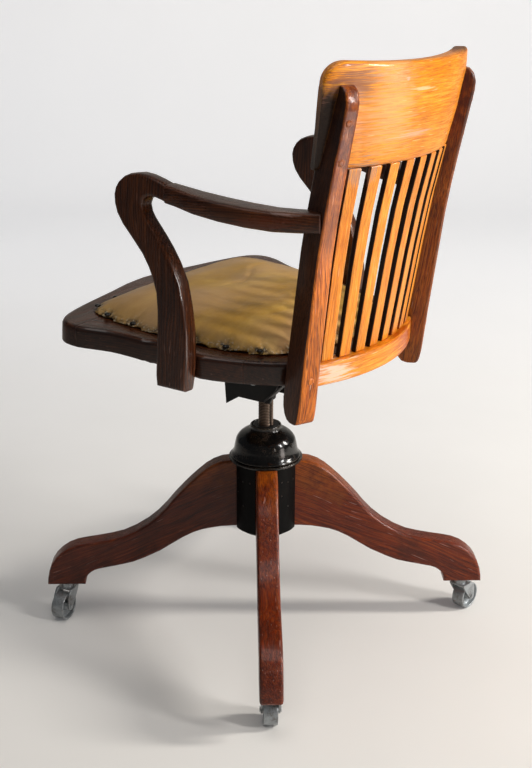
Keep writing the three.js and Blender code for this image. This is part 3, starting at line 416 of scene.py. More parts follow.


# %% [markdown]
# ## Oak
# The whole chair is oak under old shellac. Sawn oak shows three things: dark open pores in long
# dashes, a broad wave of the growth rings, and pale flecks where the rays are cut. There are four
# finishes: orange brown on the back, darker towards the heads of its posts, nearly black with
# handling on the seat and the arms, and red brown and rough on the legs, paler near the hub. One
# function builds all of them, because only the colours and the amounts differ: rings from a wave
# texture in a frame that follows the fibres, pores and flecks from noise drawn out along them, and
# worn edges from the difference between a rounded and a sharp normal; on the legs their pale lines
# are also a painted highlight. On top lie clouds of stain, painted shade where a piece carries it,
# and single marks: worn places, and on the back also a painted sheen, a painted highlight and a
# painted shade.

# %% Parts of a finish
# The colour of painted shade, a near black brown, for faces that the light doesn't reach.
SHADE_COLOUR = "160805"


def mixed(factor, first, second):
    """A colour between two others; each may be a number, a colour or a node's output."""
    return add("Mix", {0: factor, 6: first, 7: second}, data_type="RGBA").outputs[2]


def scaled(vector, scale, location=(0, 0, 0)):
    """The vector times a scale on each axis, then moved."""
    return add("Mapping", {"Vector": vector, "Scale": scale, "Location": location}).outputs["Vector"]


def noise(vector, scale, detail=3.0, roughness=0.55, location=(0, 0, 0), distortion=0.0):
    """Grey noise from nought to one, with a scale of its own along each axis."""
    return add("TexNoise", {
        "Vector": scaled(vector, scale, location), "Scale": 1.0, "Detail": detail,
        "Roughness": roughness, "Distortion": distortion}).outputs["Fac"]


def band(value, low, high, to_low=0.0, to_high=1.0):
    """Stretches the part of a value between two levels to a new range, and clips the rest."""
    return add("MapRange", {0: value, 1: low, 2: high, 3: to_low, 4: to_high}).outputs[0]


def maths(operation, first, second):
    """One step of arithmetic on two numbers."""
    return add("Math", {0: first, 1: second}, operation=operation).outputs[0]


def product(first, second):
    """One amount times another."""
    return maths("MULTIPLY", first, second)


def weighted(start, *parts):
    """The start plus each part's value times its weight."""
    total = start
    for value, weight in parts:
        total = add("Math", {0: value, 1: weight, 2: total}, operation="MULTIPLY_ADD").outputs[0]
    return total


def swung(start, value, amount):
    """The start moved both ways: by the amount times the value less a half."""
    return weighted(start, (maths("SUBTRACT", value, 0.5), amount))


def stored(tree, name, output="Fac"):
    """What a piece carries under a name: nought where it carries nothing."""
    return add("Attribute", tree=tree, attribute_name=name).outputs[output]


def edge_wear(tree, radius):
    """How sharp the surface is here: nought on a flat face, rising where a rounded normal leaves the true
    one. Returns that amount and the rounded normal."""
    rounded = add("Bevel", {"Radius": radius}, tree, samples=6).outputs["Normal"]
    true = add("NewGeometry", tree=tree).outputs["Normal"]
    facing = add("VectorMath", {0: rounded, 1: true}, operation="DOT_PRODUCT").outputs["Value"]
    return maths("SUBTRACT", 1.0, facing), rounded


def relieved(height, strength, distance, **others):
    """A normal tilted by the slopes of a height."""
    inputs = {"Height": height, "Strength": strength, "Distance": distance, **others}
    return add("Bump", inputs).outputs["Normal"]


# %% Oak
def growth(tree, ring_width, rings, fine, swing):
    """Fibre coordinates swung from side to side, with what follows them: the saw wave of the growth rings,
    fine streaks, and the tone of rings and streaks together."""
    grain = stored(tree, "grain", "Vector")
    sway = noise(grain, (4, 11, 11), 2.0)
    aside = add("CombineXYZ", {"Y": swung(0.0, sway, swing)}).outputs[0]
    swayed = add("VectorMath", {0: grain, 1: aside}, operation="ADD").outputs[0]
    ring = add("TexWave", {
        "Vector": scaled(swayed, (1, 1, 1), (0, 0.013, 0.07)), "Scale": 0.314 / ring_width,
        "Distortion": 0.6, "Detail": 2.0, "Detail Scale": 0.15,
    }, wave_type="RINGS", rings_direction="X", wave_profile="SAW").outputs["Fac"]
    streaks = noise(swayed, (fine / 30, fine, fine), 4.0, 0.6)
    broad = noise(swayed, (3, 22, 22))
    tone = weighted(swung(0.0, ring, rings), (streaks, 0.65), (broad, 0.35))
    return swayed, ring, streaks, tone


def oak(name, deep, middle, pale, pore, worn, stain, ring_width=0.0034, rings=0.2, pores=0.5, flecks=0.2,
        gloss=0.3, stains=0.5, wear=1.0, coat=0.25, relief=0.3, upper=None, marks=(), fine=230, swing=0.05,
        arris=0.0035):
    """Rings, pores, flecks, stains, painted shade and worn edges over fibre coordinates.
    Upper is a colour that takes over above a height, in patches, with its amount and the two heights.
    A mark is a patch of colour, mostly a worn place, on the back also a painted sheen, highlight and shade: its
    middle, its three half sizes, its colour and its amount."""
    material, tree, shader = new_material(name)
    swayed, ring, streaks, tone = growth(tree, ring_width, rings, fine, swing)
    place = on_chair(tree)
    rubbed = noise(place, (80, 80, 80), 4.0, 0.65)
    cloudy = noise(place, (14, 14, 9), 5.0, 0.62)
    colour = shades(tone, (0.3, deep), (0.5, middle), (0.7, pale))
    ray = band(noise(swayed, (80, 380, 60), 2.0, 0.5, distortion=0.4), 0.6, 0.7, 0.0, flecks)
    colour = mixed(ray, colour, pale)
    if upper:
        tint, amount, low, high = upper
        height = add("SeparateXYZ", {"Vector": place}).outputs["Z"]
        taken = band(swung(height, cloudy, 0.35), low, high, 0.0, amount)
        mottled = product(taken, band(rubbed, 0.36, 0.56, 0.45, 1.0))
        colour = mixed(mottled, colour, tint)
    dashes = noise(swayed, (30, 900, 900), 4.0, 0.6)
    pore_depth = band(weighted(dashes, (ring, -0.1)), 0.49, 0.34)
    colour = mixed(product(pore_depth, pores), colour, pore)
    cloud = band(cloudy, 0.48, 0.72, 0.0, stains)
    colour = mixed(cloud, colour, stain)
    # Painted shade: where a piece carries it, the colour goes near black and no scratch or worn edge shows.
    painted_shade = stored(tree, "painted_shade")
    unshaded = maths("SUBTRACT", 1.0, painted_shade)
    colour = mixed(painted_shade, colour, SHADE_COLOUR)
    lines = noise(swayed, (28, 420, 420), 1.0, 0.5, (0.7, 3, 1))
    scratch = band(lines, 0.71, 0.77, 0.0, 0.5)
    colour = mixed(product(scratch, unshaded), colour, worn)
    for centre, half_sizes, tint, amount in marks:
        shares = 1 / np.array(half_sizes)
        shrunk = scaled(place, shares.tolist(), (-shares * centre).tolist())
        off = add("VectorMath", {0: shrunk}, operation="LENGTH").outputs["Value"]
        ragged = swung(off, streaks, 4.5)
        colour = mixed(band(ragged, 1.2, 0.5, 0.0, amount), colour, tint)
    sharpness, soft_normal = edge_wear(tree, arris)
    edge = product(band(sharpness, 0.02, 0.22), band(rubbed, 0.36, 0.62, 0.0, wear))
    edge = product(edge, unshaded)
    height = maths("SUBTRACT", product(rubbed, 0.5), pore_depth)
    plug(shader, {
        "Base Color": mixed(edge, colour, worn),
        "Roughness": weighted(gloss, (pore_depth, 0.12), (cloud, 0.14), (painted_shade, 0.25), (edge, 0.15)),
        "Specular IOR Level": 0.22, "Coat Weight": coat, "Coat Roughness": 0.13,
        "Normal": relieved(height, relief, 0.0005, Normal=soft_normal)})
    return material


BACK_WEAR_AND_LIGHT = (
    ((0.030, 0.244, 0.777), (0.036, 0.03, 0.004), "e8a890", 0.6),
    ((0.028, 0.251, 0.833), (0.020, 0.03, 0.0018), "f8d0a0", 0.6),
    ((0.064, 0.250, 0.847), (0.003, 0.01, 0.0025), "a8968c", 0.8),
    ((0.150, 0.225, 0.846), (0.032, 0.06, 0.020), "7c5240", 0.75),
    # Painted sheen: a broad pale patch on the crest's left half.
    ((0.085, 0.240, 0.815), (0.040, 0.05, 0.060), "f0bc84", 0.4),
    # Painted shade on the far end of the lower rail, where it curves away from the light.
    ((-0.085, 0.185, 0.467), (0.060, 0.06, 0.030), "a84800", 0.9),
    # Painted highlight on the near end of the lower rail.
    ((0.105, 0.181, 0.467), (0.030, 0.03, 0.014), "ecd2bc", 0.7),
    ((0.115, 0.215, 0.735), (0.03, 0.05, 0.014), "9c8070", 0.6))
ARM_MARKS = (
    ((0.192, 0.160, 0.693), (0.008, 0.030, 0.004), "9c8078", 0.6),
    ((0.205, 0.130, 0.680), (0.02, 0.045, 0.007), "5c2a14", 0.7),
    ((0.176, 0.110, 0.696), (0.012, 0.035, 0.008), "6c3824", 0.5))
WARM_OAK = oak("warm_oak", "b85c0a", "ea8a14", "f8b040", "7c3a08", "f4cc94", "8a4a18", stains=0.35,
               pores=0.45, rings=0.07, fine=420, swing=0.02, marks=BACK_WEAR_AND_LIGHT)
POST_OAK = oak("post_oak", "a04408", "dc7410", "f28c30", "4a1c08", "e8b090", "4c1c0c", stains=0.45,
               pores=0.75, fine=300, coat=0.3, upper=("5c200e", 0.9, 0.67, 0.79))
DARK_OAK = oak("dark_oak", "220d05", "42200e", "68381a", "0e0503", "94685a", "140804", flecks=0.1,
               gloss=0.26, wear=0.6, pores=0.3, coat=0.35, relief=0.12, marks=ARM_MARKS)
# The legs' wide pale arrises are partly wear and partly a painted highlight along their edges.
LEG_OAK = oak("leg_oak", "380e02", "702608", "964210", "1a0803", "c09488", "280c04", ring_width=0.004,
              rings=0.14, flecks=0.35, gloss=0.32, stains=0.65, pores=0.6, relief=0.5, swing=0.03, fine=280,
              arris=0.005, upper=("b85c12", 0.9, 0.2, 0.28))
print("four oaks")

# %% [markdown]
# ## Boards of the chair
# Legs, arms, seat frame, posts, lower rail and slats keep their solids; arm posts, arm rails and
# slats have their sharp edges eased, as a hand plane and wear would. Faces turned away from the
# light, or in the shadow of a neighbour, carry painted shade: an attribute that the oak turns dark.

# %% Boards
LEG_TURN, LEG_SLOPE = 35.4, -24
BACK_LEAN, ARM_SPLAY = 0.14, 14
SLAT_COUNT, SLAT_FAN = 8, 5.3
# Painted shade on the seat rails: their side faces and their front face.
SHADED_RAIL_SIDES = ((0.83, 0.56, 0), 0.6), ((-0.83, 0.56, 0), 0.6), ((0, -1, 0), 0.4)


def board(node, material, slot, seed, grain, *turns, rounding=0.0):
    """A wooden piece from a node: its merged copy, with fibres from the given function and its turns."""
    piece = copy_of(node, node + "_wood", rounding)
    set_grain(piece.data, grain(vertices_of(piece.data), *turns), seed)
    return finish_piece(piece, BODY_OF[node], material, [node])


def paint_shade(mesh, *dirt_and_shade):
    """Painted shade on the faces that look one way: nought where they look aside, the amount where they face it.
    Each shade is such a way and its amount, and the darkest counts."""
    facing = read(mesh.polygons, "normal")
    layers = [amount * np.clip((facing @ np.array(way, float) - 0.45) / 0.4, 0, 1) for way, amount in dirt_and_shade]
    set_amount(mesh, "painted_shade", np.max(layers, axis=0), "FACE")


for seed, place_name in enumerate(("rear_left", "front_left", "front_right", "rear_right")):
    turn = LEG_TURN - 90 * seed
    leg = board(f"leg_{place_name}", LEG_OAK, "leg_oak", seed + 1, turned_grain, turn, LEG_SLOPE)
    aside = math.radians(turn + 90)
    # Painted shade on one side face of the front left leg.
    paint_shade(leg.data, ((math.cos(aside), math.sin(aside), 0), 0.5 if place_name == "front_left" else 0.0))
for seed, side_name in enumerate(("front", "back", "left", "right")):
    heading = 90 if side_name in ("left", "right") else 0
    rail = board(f"seat_rail_{side_name}", DARK_OAK, "dark_oak", 6 + seed, flat_grain, heading)
    paint_shade(rail.data, *SHADED_RAIL_SIDES)
for seed, (side_name, side) in enumerate((("left", 1), ("right", -1))):
    board(f"arm_post_{side_name}", DARK_OAK, "dark_oak", 11 + seed, upright_grain, 90, rounding=0.004)
    rail = board(f"arm_rail_{side_name}", DARK_OAK, "dark_oak", 13 + seed, flat_grain, 90 + ARM_SPLAY * side,
                 rounding=0.003)
    # Its front end reaches a little into the post, so no light shows through the glued joint
    points = vertices_of(rail.data)
    points[points[:, 1] < points[:, 1].min() + 0.001, 1] -= 0.0006
    move_vertices(rail.data, points)
    post = board(f"back_post_{side_name}", POST_OAK, "warm_oak", 16 + seed, upright_grain,
                 math.degrees(-side * POST_TURN), BACK_LEAN)
    # Painted shade on the outer side of each post, and on the inner and rear faces of the far post.
    out = (side * math.cos(POST_TURN), -math.sin(POST_TURN), 0)
    shaded = (((0.5, 0.8, 0), 0.68),) if side_name == "right" else ()
    paint_shade(post.data, (out, 0.9), *shaded)
board("low_rail", WARM_OAK, "warm_oak", 19, bent_grain)
for count in range(1, SLAT_COUNT + 1):
    fan = (count - (SLAT_COUNT + 1) / 2) * SLAT_FAN
    slat = board(f"slat_{count}", WARM_OAK, "warm_oak", 20 + count, upright_grain, fan, BACK_LEAN,
                 rounding=0.0016)
    # Painted shade on the side of every slat that faces +X, away from the light.
    paint_shade(slat.data, ((1, 0, 0), 1.0))

# %% [markdown]
# ## The crest
# The top board of the back is bent to the arc, dips in its middle, falls away at both ends and
# curls forward there. It is drawn anew, in finer steps than its solid, because light runs along it
# and would show every facet. Its wings beside the posts carry the painted shadow of the posts, and
# the top edge at one end carries painted shade, as it faces away from the light.

# %% Crest
CREST_FOOT, CREST_HEIGHT = 0.743, 0.132
CREST_REACH, CREST_CORNER = math.radians(30.8), math.radians(6)
CREST_DIP, CREST_FALL = 0.008, 0.031
CREST_HALF, CREST_THINNING, CREST_ARRIS = 0.012, 0.003, 0.0055
CREST_CURL, CREST_TAPER = 0.005, 0.108
SHADED_TOP_FROM, WINGS_FROM, WINGS_TOP = 0.09, 0.172, 0.846


def crest_board():
    """The bent top board as one surface of turn and edge. Each section is an oblong with rounded arrises;
    its height falls by a quarter ellipse in the corners and by a parabola in the middle. Its centre runs
    from the foot to the head of the board ahead of the posts, and near the ends it curls forward by a high
    power of the turn, where the board also thins; its faces turn with the curl."""
    easing = np.linspace(0, 1, 18, endpoint=False)
    inner = CREST_REACH - CREST_CORNER
    end = CREST_REACH - CREST_CORNER * (1 - np.cos(easing * math.pi / 2))
    turns = np.r_[end, np.linspace(inner, -inner, 90), -end[::-1]][:, None]
    share = turns / CREST_REACH
    into = np.clip((CREST_REACH - np.abs(turns)) / CREST_CORNER, 0, 1)
    rise = CREST_HEIGHT - CREST_DIP * (1 - share ** 2) - CREST_FALL * (1 - np.sqrt(1 - (1 - into) ** 2))
    bend = np.linspace(0, math.pi / 2, 6)
    straight = np.linspace(0, 1, 11)[1:-1]
    foot = CREST_ARRIS * (1 - np.cos(bend)) + 0 * rise
    face = CREST_ARRIS + straight * (rise - 2 * CREST_ARRIS)
    up = np.hstack([foot, face, rise - CREST_ARRIS * (1 - np.sin(bend))])
    half = CREST_HALF - CREST_THINNING * share ** 4
    outs = half - CREST_ARRIS * (1 - np.r_[np.sin(bend), np.ones(len(straight)), np.cos(bend)])
    outs, up = np.hstack([outs, -outs[:, ::-1]]), np.hstack([up, up[:, ::-1]])
    level = up / CREST_HEIGHT
    forward = np.interp(level, (0, 0.4, 1), (0.009, 0.010, 0.018))
    forward += CREST_CURL * share ** 8 - (0.0195 * level - 0.007) * share ** 2
    faces = turns + np.arctan2(8 * CREST_CURL * share ** 7, BACK_RADIUS * CREST_REACH)
    height = CREST_FOOT + up
    at = turns * (1 - CREST_TAPER * (1 - level))
    radius = BACK_RADIUS - forward
    depth = arc_centre(height) + radius * np.cos(at) + outs * np.cos(faces)
    return np.stack([radius * np.sin(at) + outs * np.sin(faces), depth, height], -1)


crest = surface("crest_wood", crest_board())
crest_grain = bent_grain(vertices_of(crest.data))
set_grain(crest.data, crest_grain, 18)
along, height, _ = crest_grain.T
facing_up = read(crest.data.vertices, "normal")[:, 2]
# Painted shade on the top edge at the far end, and the painted shadow of the posts on the wings below their heads.
shaded_top = np.clip((facing_up - 0.25) / 0.4, 0, 1) * np.clip((-along - SHADED_TOP_FROM) / 0.05, 0, 1)
shaded_wings = np.clip((np.abs(along) - WINGS_FROM) / 0.006, 0, 1) * np.clip((WINGS_TOP - height) / 0.01, 0, 1)
set_amount(crest.data, "painted_shade", np.maximum(0.8 * shaded_top, 0.97 * shaded_wings))
finish_piece(crest, "chair", WARM_OAK, ["crest"])

# %% [markdown]
# ## The seat pad
# The pad is thin mustard leather over stuffing, pulled down and nailed to the frame all round its
# edge. It rises to a low crown, and its rim is drawn in a little at every nail. A cloth simulation
# gives that form: the flat underside and the places of the nails are pinned, pressure lifts the
# rest, and no point may move further than a few millimetres, so it stays in its own space.

# %% Nail places
PAD_HALF_WIDTH, PAD_FRONT, PAD_REAR = 0.1968, 0.193, 0.1516
PAD_SHARES = [(0, -1), (0.35, -1), (0.66, -0.985), (0.86, -0.955), (0.945, -0.89), (0.985, -0.76), (1, -0.5),
              (0.985, -0.2), (0.945, 0.1), (0.875, 0.425), (0.77, 0.665), (0.635, 0.822), (0.45, 0.923),
              (0.225, 0.982), (0, 1)]
NAIL_COUNT = 26
NAIL_INSET = 0.0075


def pad_outline(count):
    """Points at even steps along the pad's edge, in seat coordinates, with the inward direction at each."""
    half = smooth_line(PAD_SHARES, 40)
    half = half * np.c_[np.full(len(half), PAD_HALF_WIDTH), np.where(half[:, 1] < 0, PAD_FRONT, PAD_REAR)]
    ring = np.vstack([half, half[-2:0:-1] * (-1, 1), half[:1]])
    run = np.r_[0, np.cumsum(np.hypot(*np.diff(ring, axis=0).T))]
    at = (np.arange(count) + 0.5) / count * run[-1]
    places, nearby = (np.c_[np.interp(where, run, ring[:, 0]), np.interp(where, run, ring[:, 1])]
                      for where in (at, at + 0.002))
    along = unit(nearby - places)
    return places, np.c_[-along[:, 1], along[:, 0]]


def nearest(points, places):
    """Distance in plan from each point to the nearest of some places."""
    away = points[:, None, :2] - places
    return np.hypot(away[..., 0], away[..., 1]).min(1)


edge_places, inwards = pad_outline(NAIL_COUNT)
NAILS = edge_places + inwards * NAIL_INSET
EDGE_RING = pad_outline(120)[0]

# %% The stuffed pad
PAD_VOXEL = 0.0045
PAD_SHARE = 0.992
HELD_BELOW, HELD_AT_NAILS = 0.0022, 0.006
CLOTH_PRESSURE, CLOTH_FRAMES, LIFT_LIMIT = 4, 20, 0.005


def applied(obj):
    """The object's mesh as its modifiers leave it; the modifiers are then cleared."""
    mesh = bpy.data.meshes.new_from_object(obj.evaluated_get(bpy.context.evaluated_depsgraph_get()))
    obj.modifiers.clear()
    return mesh


def blow_up(obj):
    """Runs a cloth under pressure for some frames; each corner goes its way, but only as far as the limit."""
    before = vertices_of(obj.data)
    cloth = obj.modifiers.new("leather", "CLOTH").settings
    cloth.vertex_group_mass = "held"
    cloth.use_pressure = True
    cloth.uniform_pressure_force = CLOTH_PRESSURE
    cloth.effector_weights.gravity = 0
    for step in range(1, CLOTH_FRAMES + 1):
        scene.frame_set(step)
    moved = vertices_of(applied(obj)) - before
    scene.frame_set(1)
    reach = np.linalg.norm(moved, axis=1, keepdims=True)
    move_vertices(obj.data, before + moved * np.minimum(1, LIFT_LIMIT / np.maximum(reach, 1e-9)))
    print("pad points moved by up to", round(float(reach.max()) * 1000, 1), "mm before the limit")


def stuffed_pad():
    """The pad's solid, a little smaller and rebuilt from voxels, pinned below and at the nails, blown up."""
    start = copy_of("seat_pad", "seat_leather")
    start.modifiers.clear()
    scene.collection.objects.link(start)
    move_vertices(start.data, from_seat(to_seat(vertices_of(start.data)) * (PAD_SHARE, PAD_SHARE, 1)))
    voxels = start.modifiers.new("voxels", "REMESH")
    voxels.mode, voxels.voxel_size = "VOXEL", PAD_VOXEL
    start.data = applied(start)
    local = to_seat(vertices_of(start.data))
    pinned = (local[:, 2] < HELD_BELOW) | (nearest(local, NAILS) < HELD_AT_NAILS)
    group = start.vertex_groups.new(name="held")
    group.add(np.flatnonzero(pinned).tolist(), 1.0, "REPLACE")
    blow_up(start)
    return start


def pulled_leather(points):
    """Folds drawn by the nails, in seat coordinates: the rim dips at each nail, a soft crease runs in from
    it, and long creases cross the crown where the sitter's weight went, all as bell curves of the distance.
    A wave lets the crown sag, and away from the edge the stuffing is fuller."""
    x, y, z = points.T
    away = points[:, None, :2] - NAILS
    inward = (away * inwards).sum(-1)
    aside = (away * np.c_[-inwards[:, 1], inwards[:, 0]]).sum(-1)
    fading = np.exp(-np.maximum(inward, 0) / 0.02) * (inward > -0.01)
    crease = (np.exp(-(aside / 0.0045) ** 2) * fading).max(1)
    dip = np.exp(-(nearest(points, NAILS) / 0.0085) ** 2)
    crossing = 0
    for at, middle, lag in ((0.045, 0.02, 0.3), (-0.06, -0.03, 2.0), (0.098, 0.06, 4.0)):
        off = y - at - 0.16 * x - 0.012 * np.sin(x * 38 + lag)
        crossing = crossing + np.exp(-(off / 0.006) ** 2) * np.exp(-((x - middle) / 0.075) ** 4)
    sag = 0.00072 * np.sin(y * 62 + 1.4 * np.sin(x * 21)) * np.exp(-(x / 0.13) ** 4)
    fuller = 0.0045 * (1 - np.exp(-(nearest(points, EDGE_RING) / 0.016) ** 2))
    top = np.clip((z - 0.004) / 0.01, 0, 1)
    lifted = z + top * (fuller - 0.0022 * crease - 0.0016 * crossing - sag)
    return np.c_[x, y, lifted - 0.0018 * dip * (z > 0.002)]


pad = stuffed_pad()
finer = pad.modifiers.new("finer", "SUBSURF")
finer.levels = finer.render_levels = 1
pad.data = applied(pad)
move_vertices(pad.data, from_seat(pulled_leather(to_seat(vertices_of(pad.data)))))
shade_smoothly(pad.data, 180)
print("pad faces", len(pad.data.polygons))

# %% [markdown]
# ## Leather
# Old nailed leather: mustard where it kept its dye, taupe where the sitter rubbed it, dark along
# the nails where dirt gathers. A cell pattern gives the pebble of the skin, long noise its creases.

# %% Leather
def leather_finish():
    """Mustard leather with rubbed and dirty zones, pebbled by cells and cracked by stretched noise."""
    material, tree, shader = new_material("mustard_leather")
    place = on_chair(tree)
    cloud = noise(place, (9, 16, 9), 4.0, 0.6)
    colour = shades(cloud, (0.3, "94702a"), (0.5, "b88c3a"), (0.72, "d4ac5a"))
    rubbed = band(noise(place, (5, 7, 5), location=(3, 1, 0)), 0.42, 0.62, 0.0, 0.7)
    colour = mixed(rubbed, colour, "c09a70")
    dirt_and_shade = stored(tree, "dirt_and_shade")
    spots = band(noise(place, (170, 170, 170)), 0.35, 0.6)
    colour = mixed(product(dirt_and_shade, spots), colour, "3a2a12")
    chalk = band(noise(place, (240, 240, 240), location=(5, 2, 8)), 0.56, 0.64, 0.0, 0.8)
    colour = mixed(product(dirt_and_shade, chalk), colour, "d8ccb0")
    cells = {"Vector": place, "Scale": 520.0}
    pebbles = add("TexVoronoi", cells, feature="DISTANCE_TO_EDGE").outputs["Distance"]
    cracks = band(noise(place, (60, 260, 60), 5.0, 0.7), 0.55, 0.4)
    height = weighted(0.0, (pebbles, 0.6), (cracks, 0.7))
    plug(shader, {
        "Base Color": colour, "Roughness": band(cloud, 0.3, 0.7, 0.34, 0.52),
        "Specular IOR Level": 0.3, "Normal": relieved(height, 0.4, 0.0006)})
    return material


def dirt_on_pad(points):
    """Dirt from nought to one: thickest at the nails, thinner along the rim."""
    rim = np.clip(1 - (points[:, 2] - 0.004) / 0.006, 0, 1)
    return np.clip(np.exp(-(nearest(points, NAILS) / 0.009) ** 2) + 0.7 * rim, 0, 1)


set_amount(pad.data, "dirt_and_shade", dirt_on_pad(to_seat(vertices_of(pad.data))))
finish_piece(pad, "chair", leather_finish(), ["seat_pad"])

# %% [markdown]
# ## Metal finishes
# There are six: black stove enamel on the hub, thick and glossy with chips at its rims; cast iron
# under the seat, matt with dust; worn steel with rust in its corners on the casters; the browner
# steel of the screw; the dull black paint of the cover plates; and dark oiled spring steel. They
# differ by their colours and by how far the bare metal shows, so one function serves them all.

# %% Metals
GREASE_COLOUR = "0c0705"


def metal(name, face, second, rust, bare, metallic, gloss, chips, rusting, relief=0.25, coat=0.0, shine=0.5,
          edge_size=0.0016):
    """A face colour clouded by a second, rust by noise, bare metal at worn edges and grease in grooves."""
    material, tree, shader = new_material(name)
    place = on_chair(tree)
    cloud = noise(place, (35, 35, 35), 5.0, 0.6)
    fine_noise = noise(place, (360, 360, 360), 4.0, 0.65)
    colour = mixed(band(cloud, 0.35, 0.7), face, second)
    patches = weighted(0.0, (cloud, 0.6), (fine_noise, 0.4))
    rusted = band(patches, 0.52, 0.62, 0.0, rusting)
    colour = mixed(rusted, colour, rust)
    sharpness, soft_normal = edge_wear(tree, edge_size)
    edge = product(band(sharpness, 0.03, 0.2), band(fine_noise, 0.38, 0.6, 0.0, chips))
    colour = mixed(edge, colour, bare)
    rough = band(fine_noise, 0.3, 0.7, gloss - 0.06, gloss + 0.1)
    height = weighted(0.0, (fine_noise, 0.5), (rusted, 0.8))
    plug(shader, {
        "Base Color": mixed(stored(tree, "grease"), colour, GREASE_COLOUR),
        "Metallic": metallic, "Roughness": weighted(rough, (rusted, 0.35)), "Specular IOR Level": shine,
        "Coat Weight": coat, "Coat Roughness": 0.1,
        "Normal": relieved(height, relief, 0.0004, Normal=soft_normal)})
    return material


ENAMEL = metal("black_enamel", "070606", "12100e", "3a2c22", "8a7a68", 0.0, 0.16, 0.85, 0.45, coat=0.4,
               relief=0.12, shine=0.25, edge_size=0.004)
CAST_IRON = metal("cast_iron", "0b0b0c", "141312", "2a1d15", "5b554d", 0.0, 0.45, 0.6, 0.35, relief=0.35,
                  shine=0.25)
STEEL = metal("worn_steel", "acb1b4", "7c8184", "5a4434", "e6e6e4", 0.5, 0.33, 0.7, 0.5, relief=0.4)
SCREW_STEEL = metal("screw_steel", "9c8574", "6f5a4a", "6a4028", "d0bca6", 0.6, 0.36, 0.4, 0.6)
PLATE_BLACK = metal("black_plate", "040404", "0a0909", "1c140e", "5b554d", 0.0, 0.4, 0.5, 0.2, relief=0.1,
                    shine=0.08)
SPRING_STEEL = metal("spring_steel", "3b3835", "2a2725", "4a2c1c", "7d766c", 0.7, 0.4, 0.5, 0.5)
print("six metals")

# %% [markdown]
# ## Nails, plugs, screws and pins
# Small fasteners are left out of the solids. Each is a low dome: a profile turned about its own
# axis, then carried to its place. All nails of the seat are one object, because they are alike.

# %% Small fasteners
PLUG_HEIGHTS, PLUG_SHIFTS = (0.803, 0.756, 0.472), (0.001, 0.001, 0)
FIXING_TURNS, FIXING_OUT, FIXING_HEIGHT, FIXING_TILT = (91.8, 49.2), 0.0455, 0.296, 0.12
PLATE_TURNS, PLATE_OUT = [LEG_TURN + 45 + 90 * count for count in range(4)], 0.0478
PIN_PATTERN = [(-16, 0.2425), (-2, 0.2405), (-16, 0.2200), (-1, 0.2005), (14, 0.2410)]


def domes(places, normals, radius, height, rows=5, columns=14, sink=0.0006):
    """Low domes at places: in a quarter turn the radius falls by the cosine, and the height rises by the
    sine. A short wall goes down below the surface."""
    rise = np.linspace(0, math.pi / 2, rows)
    across = radius * np.r_[1, np.cos(rise[:-1]), 0.04]
    return carried_round(np.c_[across, np.r_[-sink, height * np.sin(rise)]], places, normals, columns)


def post_rear(side, height, across):
    """A point on the rear face of a post: behind the arc along the post's own direction, most at its head."""
    c, s = math.cos(POST_TURN), math.sin(POST_TURN)
    level = (height - POST_FOOT) / POST_RISE
    out, aside = 0.0145 + 0.0055 * level, across + 0.0055 * level - 0.0025
    x = (BACK_RADIUS + out) * s + aside * c
    y = float(np.interp(height, POST_HEIGHTS, POST_DEPTHS)) + out * c - aside * s
    return [side * x, y, height]


seat_up = SEAT_TURN[2]
nail_tops = from_seat(np.c_[NAILS, np.full(NAIL_COUNT, 0.0052)])
nails = surface("seat_nails", domes(nail_tops, seat_up, 0.0048, 0.0024))
finish_piece(nails, "chair", ENAMEL)

sides_of_plugs = [side for side in (1, -1) for _ in PLUG_HEIGHTS]
plug_places = [post_rear(*where) for where in zip(sides_of_plugs, PLUG_HEIGHTS * 2, PLUG_SHIFTS * 2)]
plug_normals = [(side * math.sin(POST_TURN), math.cos(POST_TURN), -0.13) for side in sides_of_plugs]
plugs = surface("post_plugs", domes(plug_places, plug_normals, 0.0052, 0.0005, 4, 24, sink=0.002))
set_grain(plugs.data, upright_grain(vertices_of(plugs.data), 65), 31)
finish_piece(plugs, "chair", POST_OAK)

fixing_turns = np.radians(FIXING_TURNS)
fixing_out = np.c_[np.cos(fixing_turns), np.sin(fixing_turns), [FIXING_TILT] * len(fixing_turns)]
fixing_places = fixing_out * (FIXING_OUT, FIXING_OUT, 0) + (0, 0, FIXING_HEIGHT)
dome_screws = surface("dome_screws", domes(fixing_places, fixing_out, 0.0036, 0.0022))
finish_piece(dome_screws, "hub", ENAMEL)

pin_turns = np.radians([centre + aside for centre in PLATE_TURNS for aside, _ in PIN_PATTERN])
pin_out = np.c_[np.cos(pin_turns), np.sin(pin_turns), 0 * pin_turns]
pin_heights = [height for _ in PLATE_TURNS for _, height in PIN_PATTERN]
pin_places = pin_out * PLATE_OUT + np.c_[0 * pin_turns, 0 * pin_turns, pin_heights]
pins = surface("plate_pins", domes(pin_places, pin_out, 0.0013, 0.0005, 3, 10))
finish_piece(pins, "base", SPRING_STEEL)
print(NAIL_COUNT, "nails,", len(plug_places), "plugs,", len(pin_turns), "pins")

# %% [markdown]
# ## Turned metal
# The hub is a spun steel dome over a flat flange, with a rolled lip where the screw comes out.
# Wheels are cast with a thin web between a rim and a boss. Each is a profile of radius and height
# turned about an axis, fine enough that no facet shows.

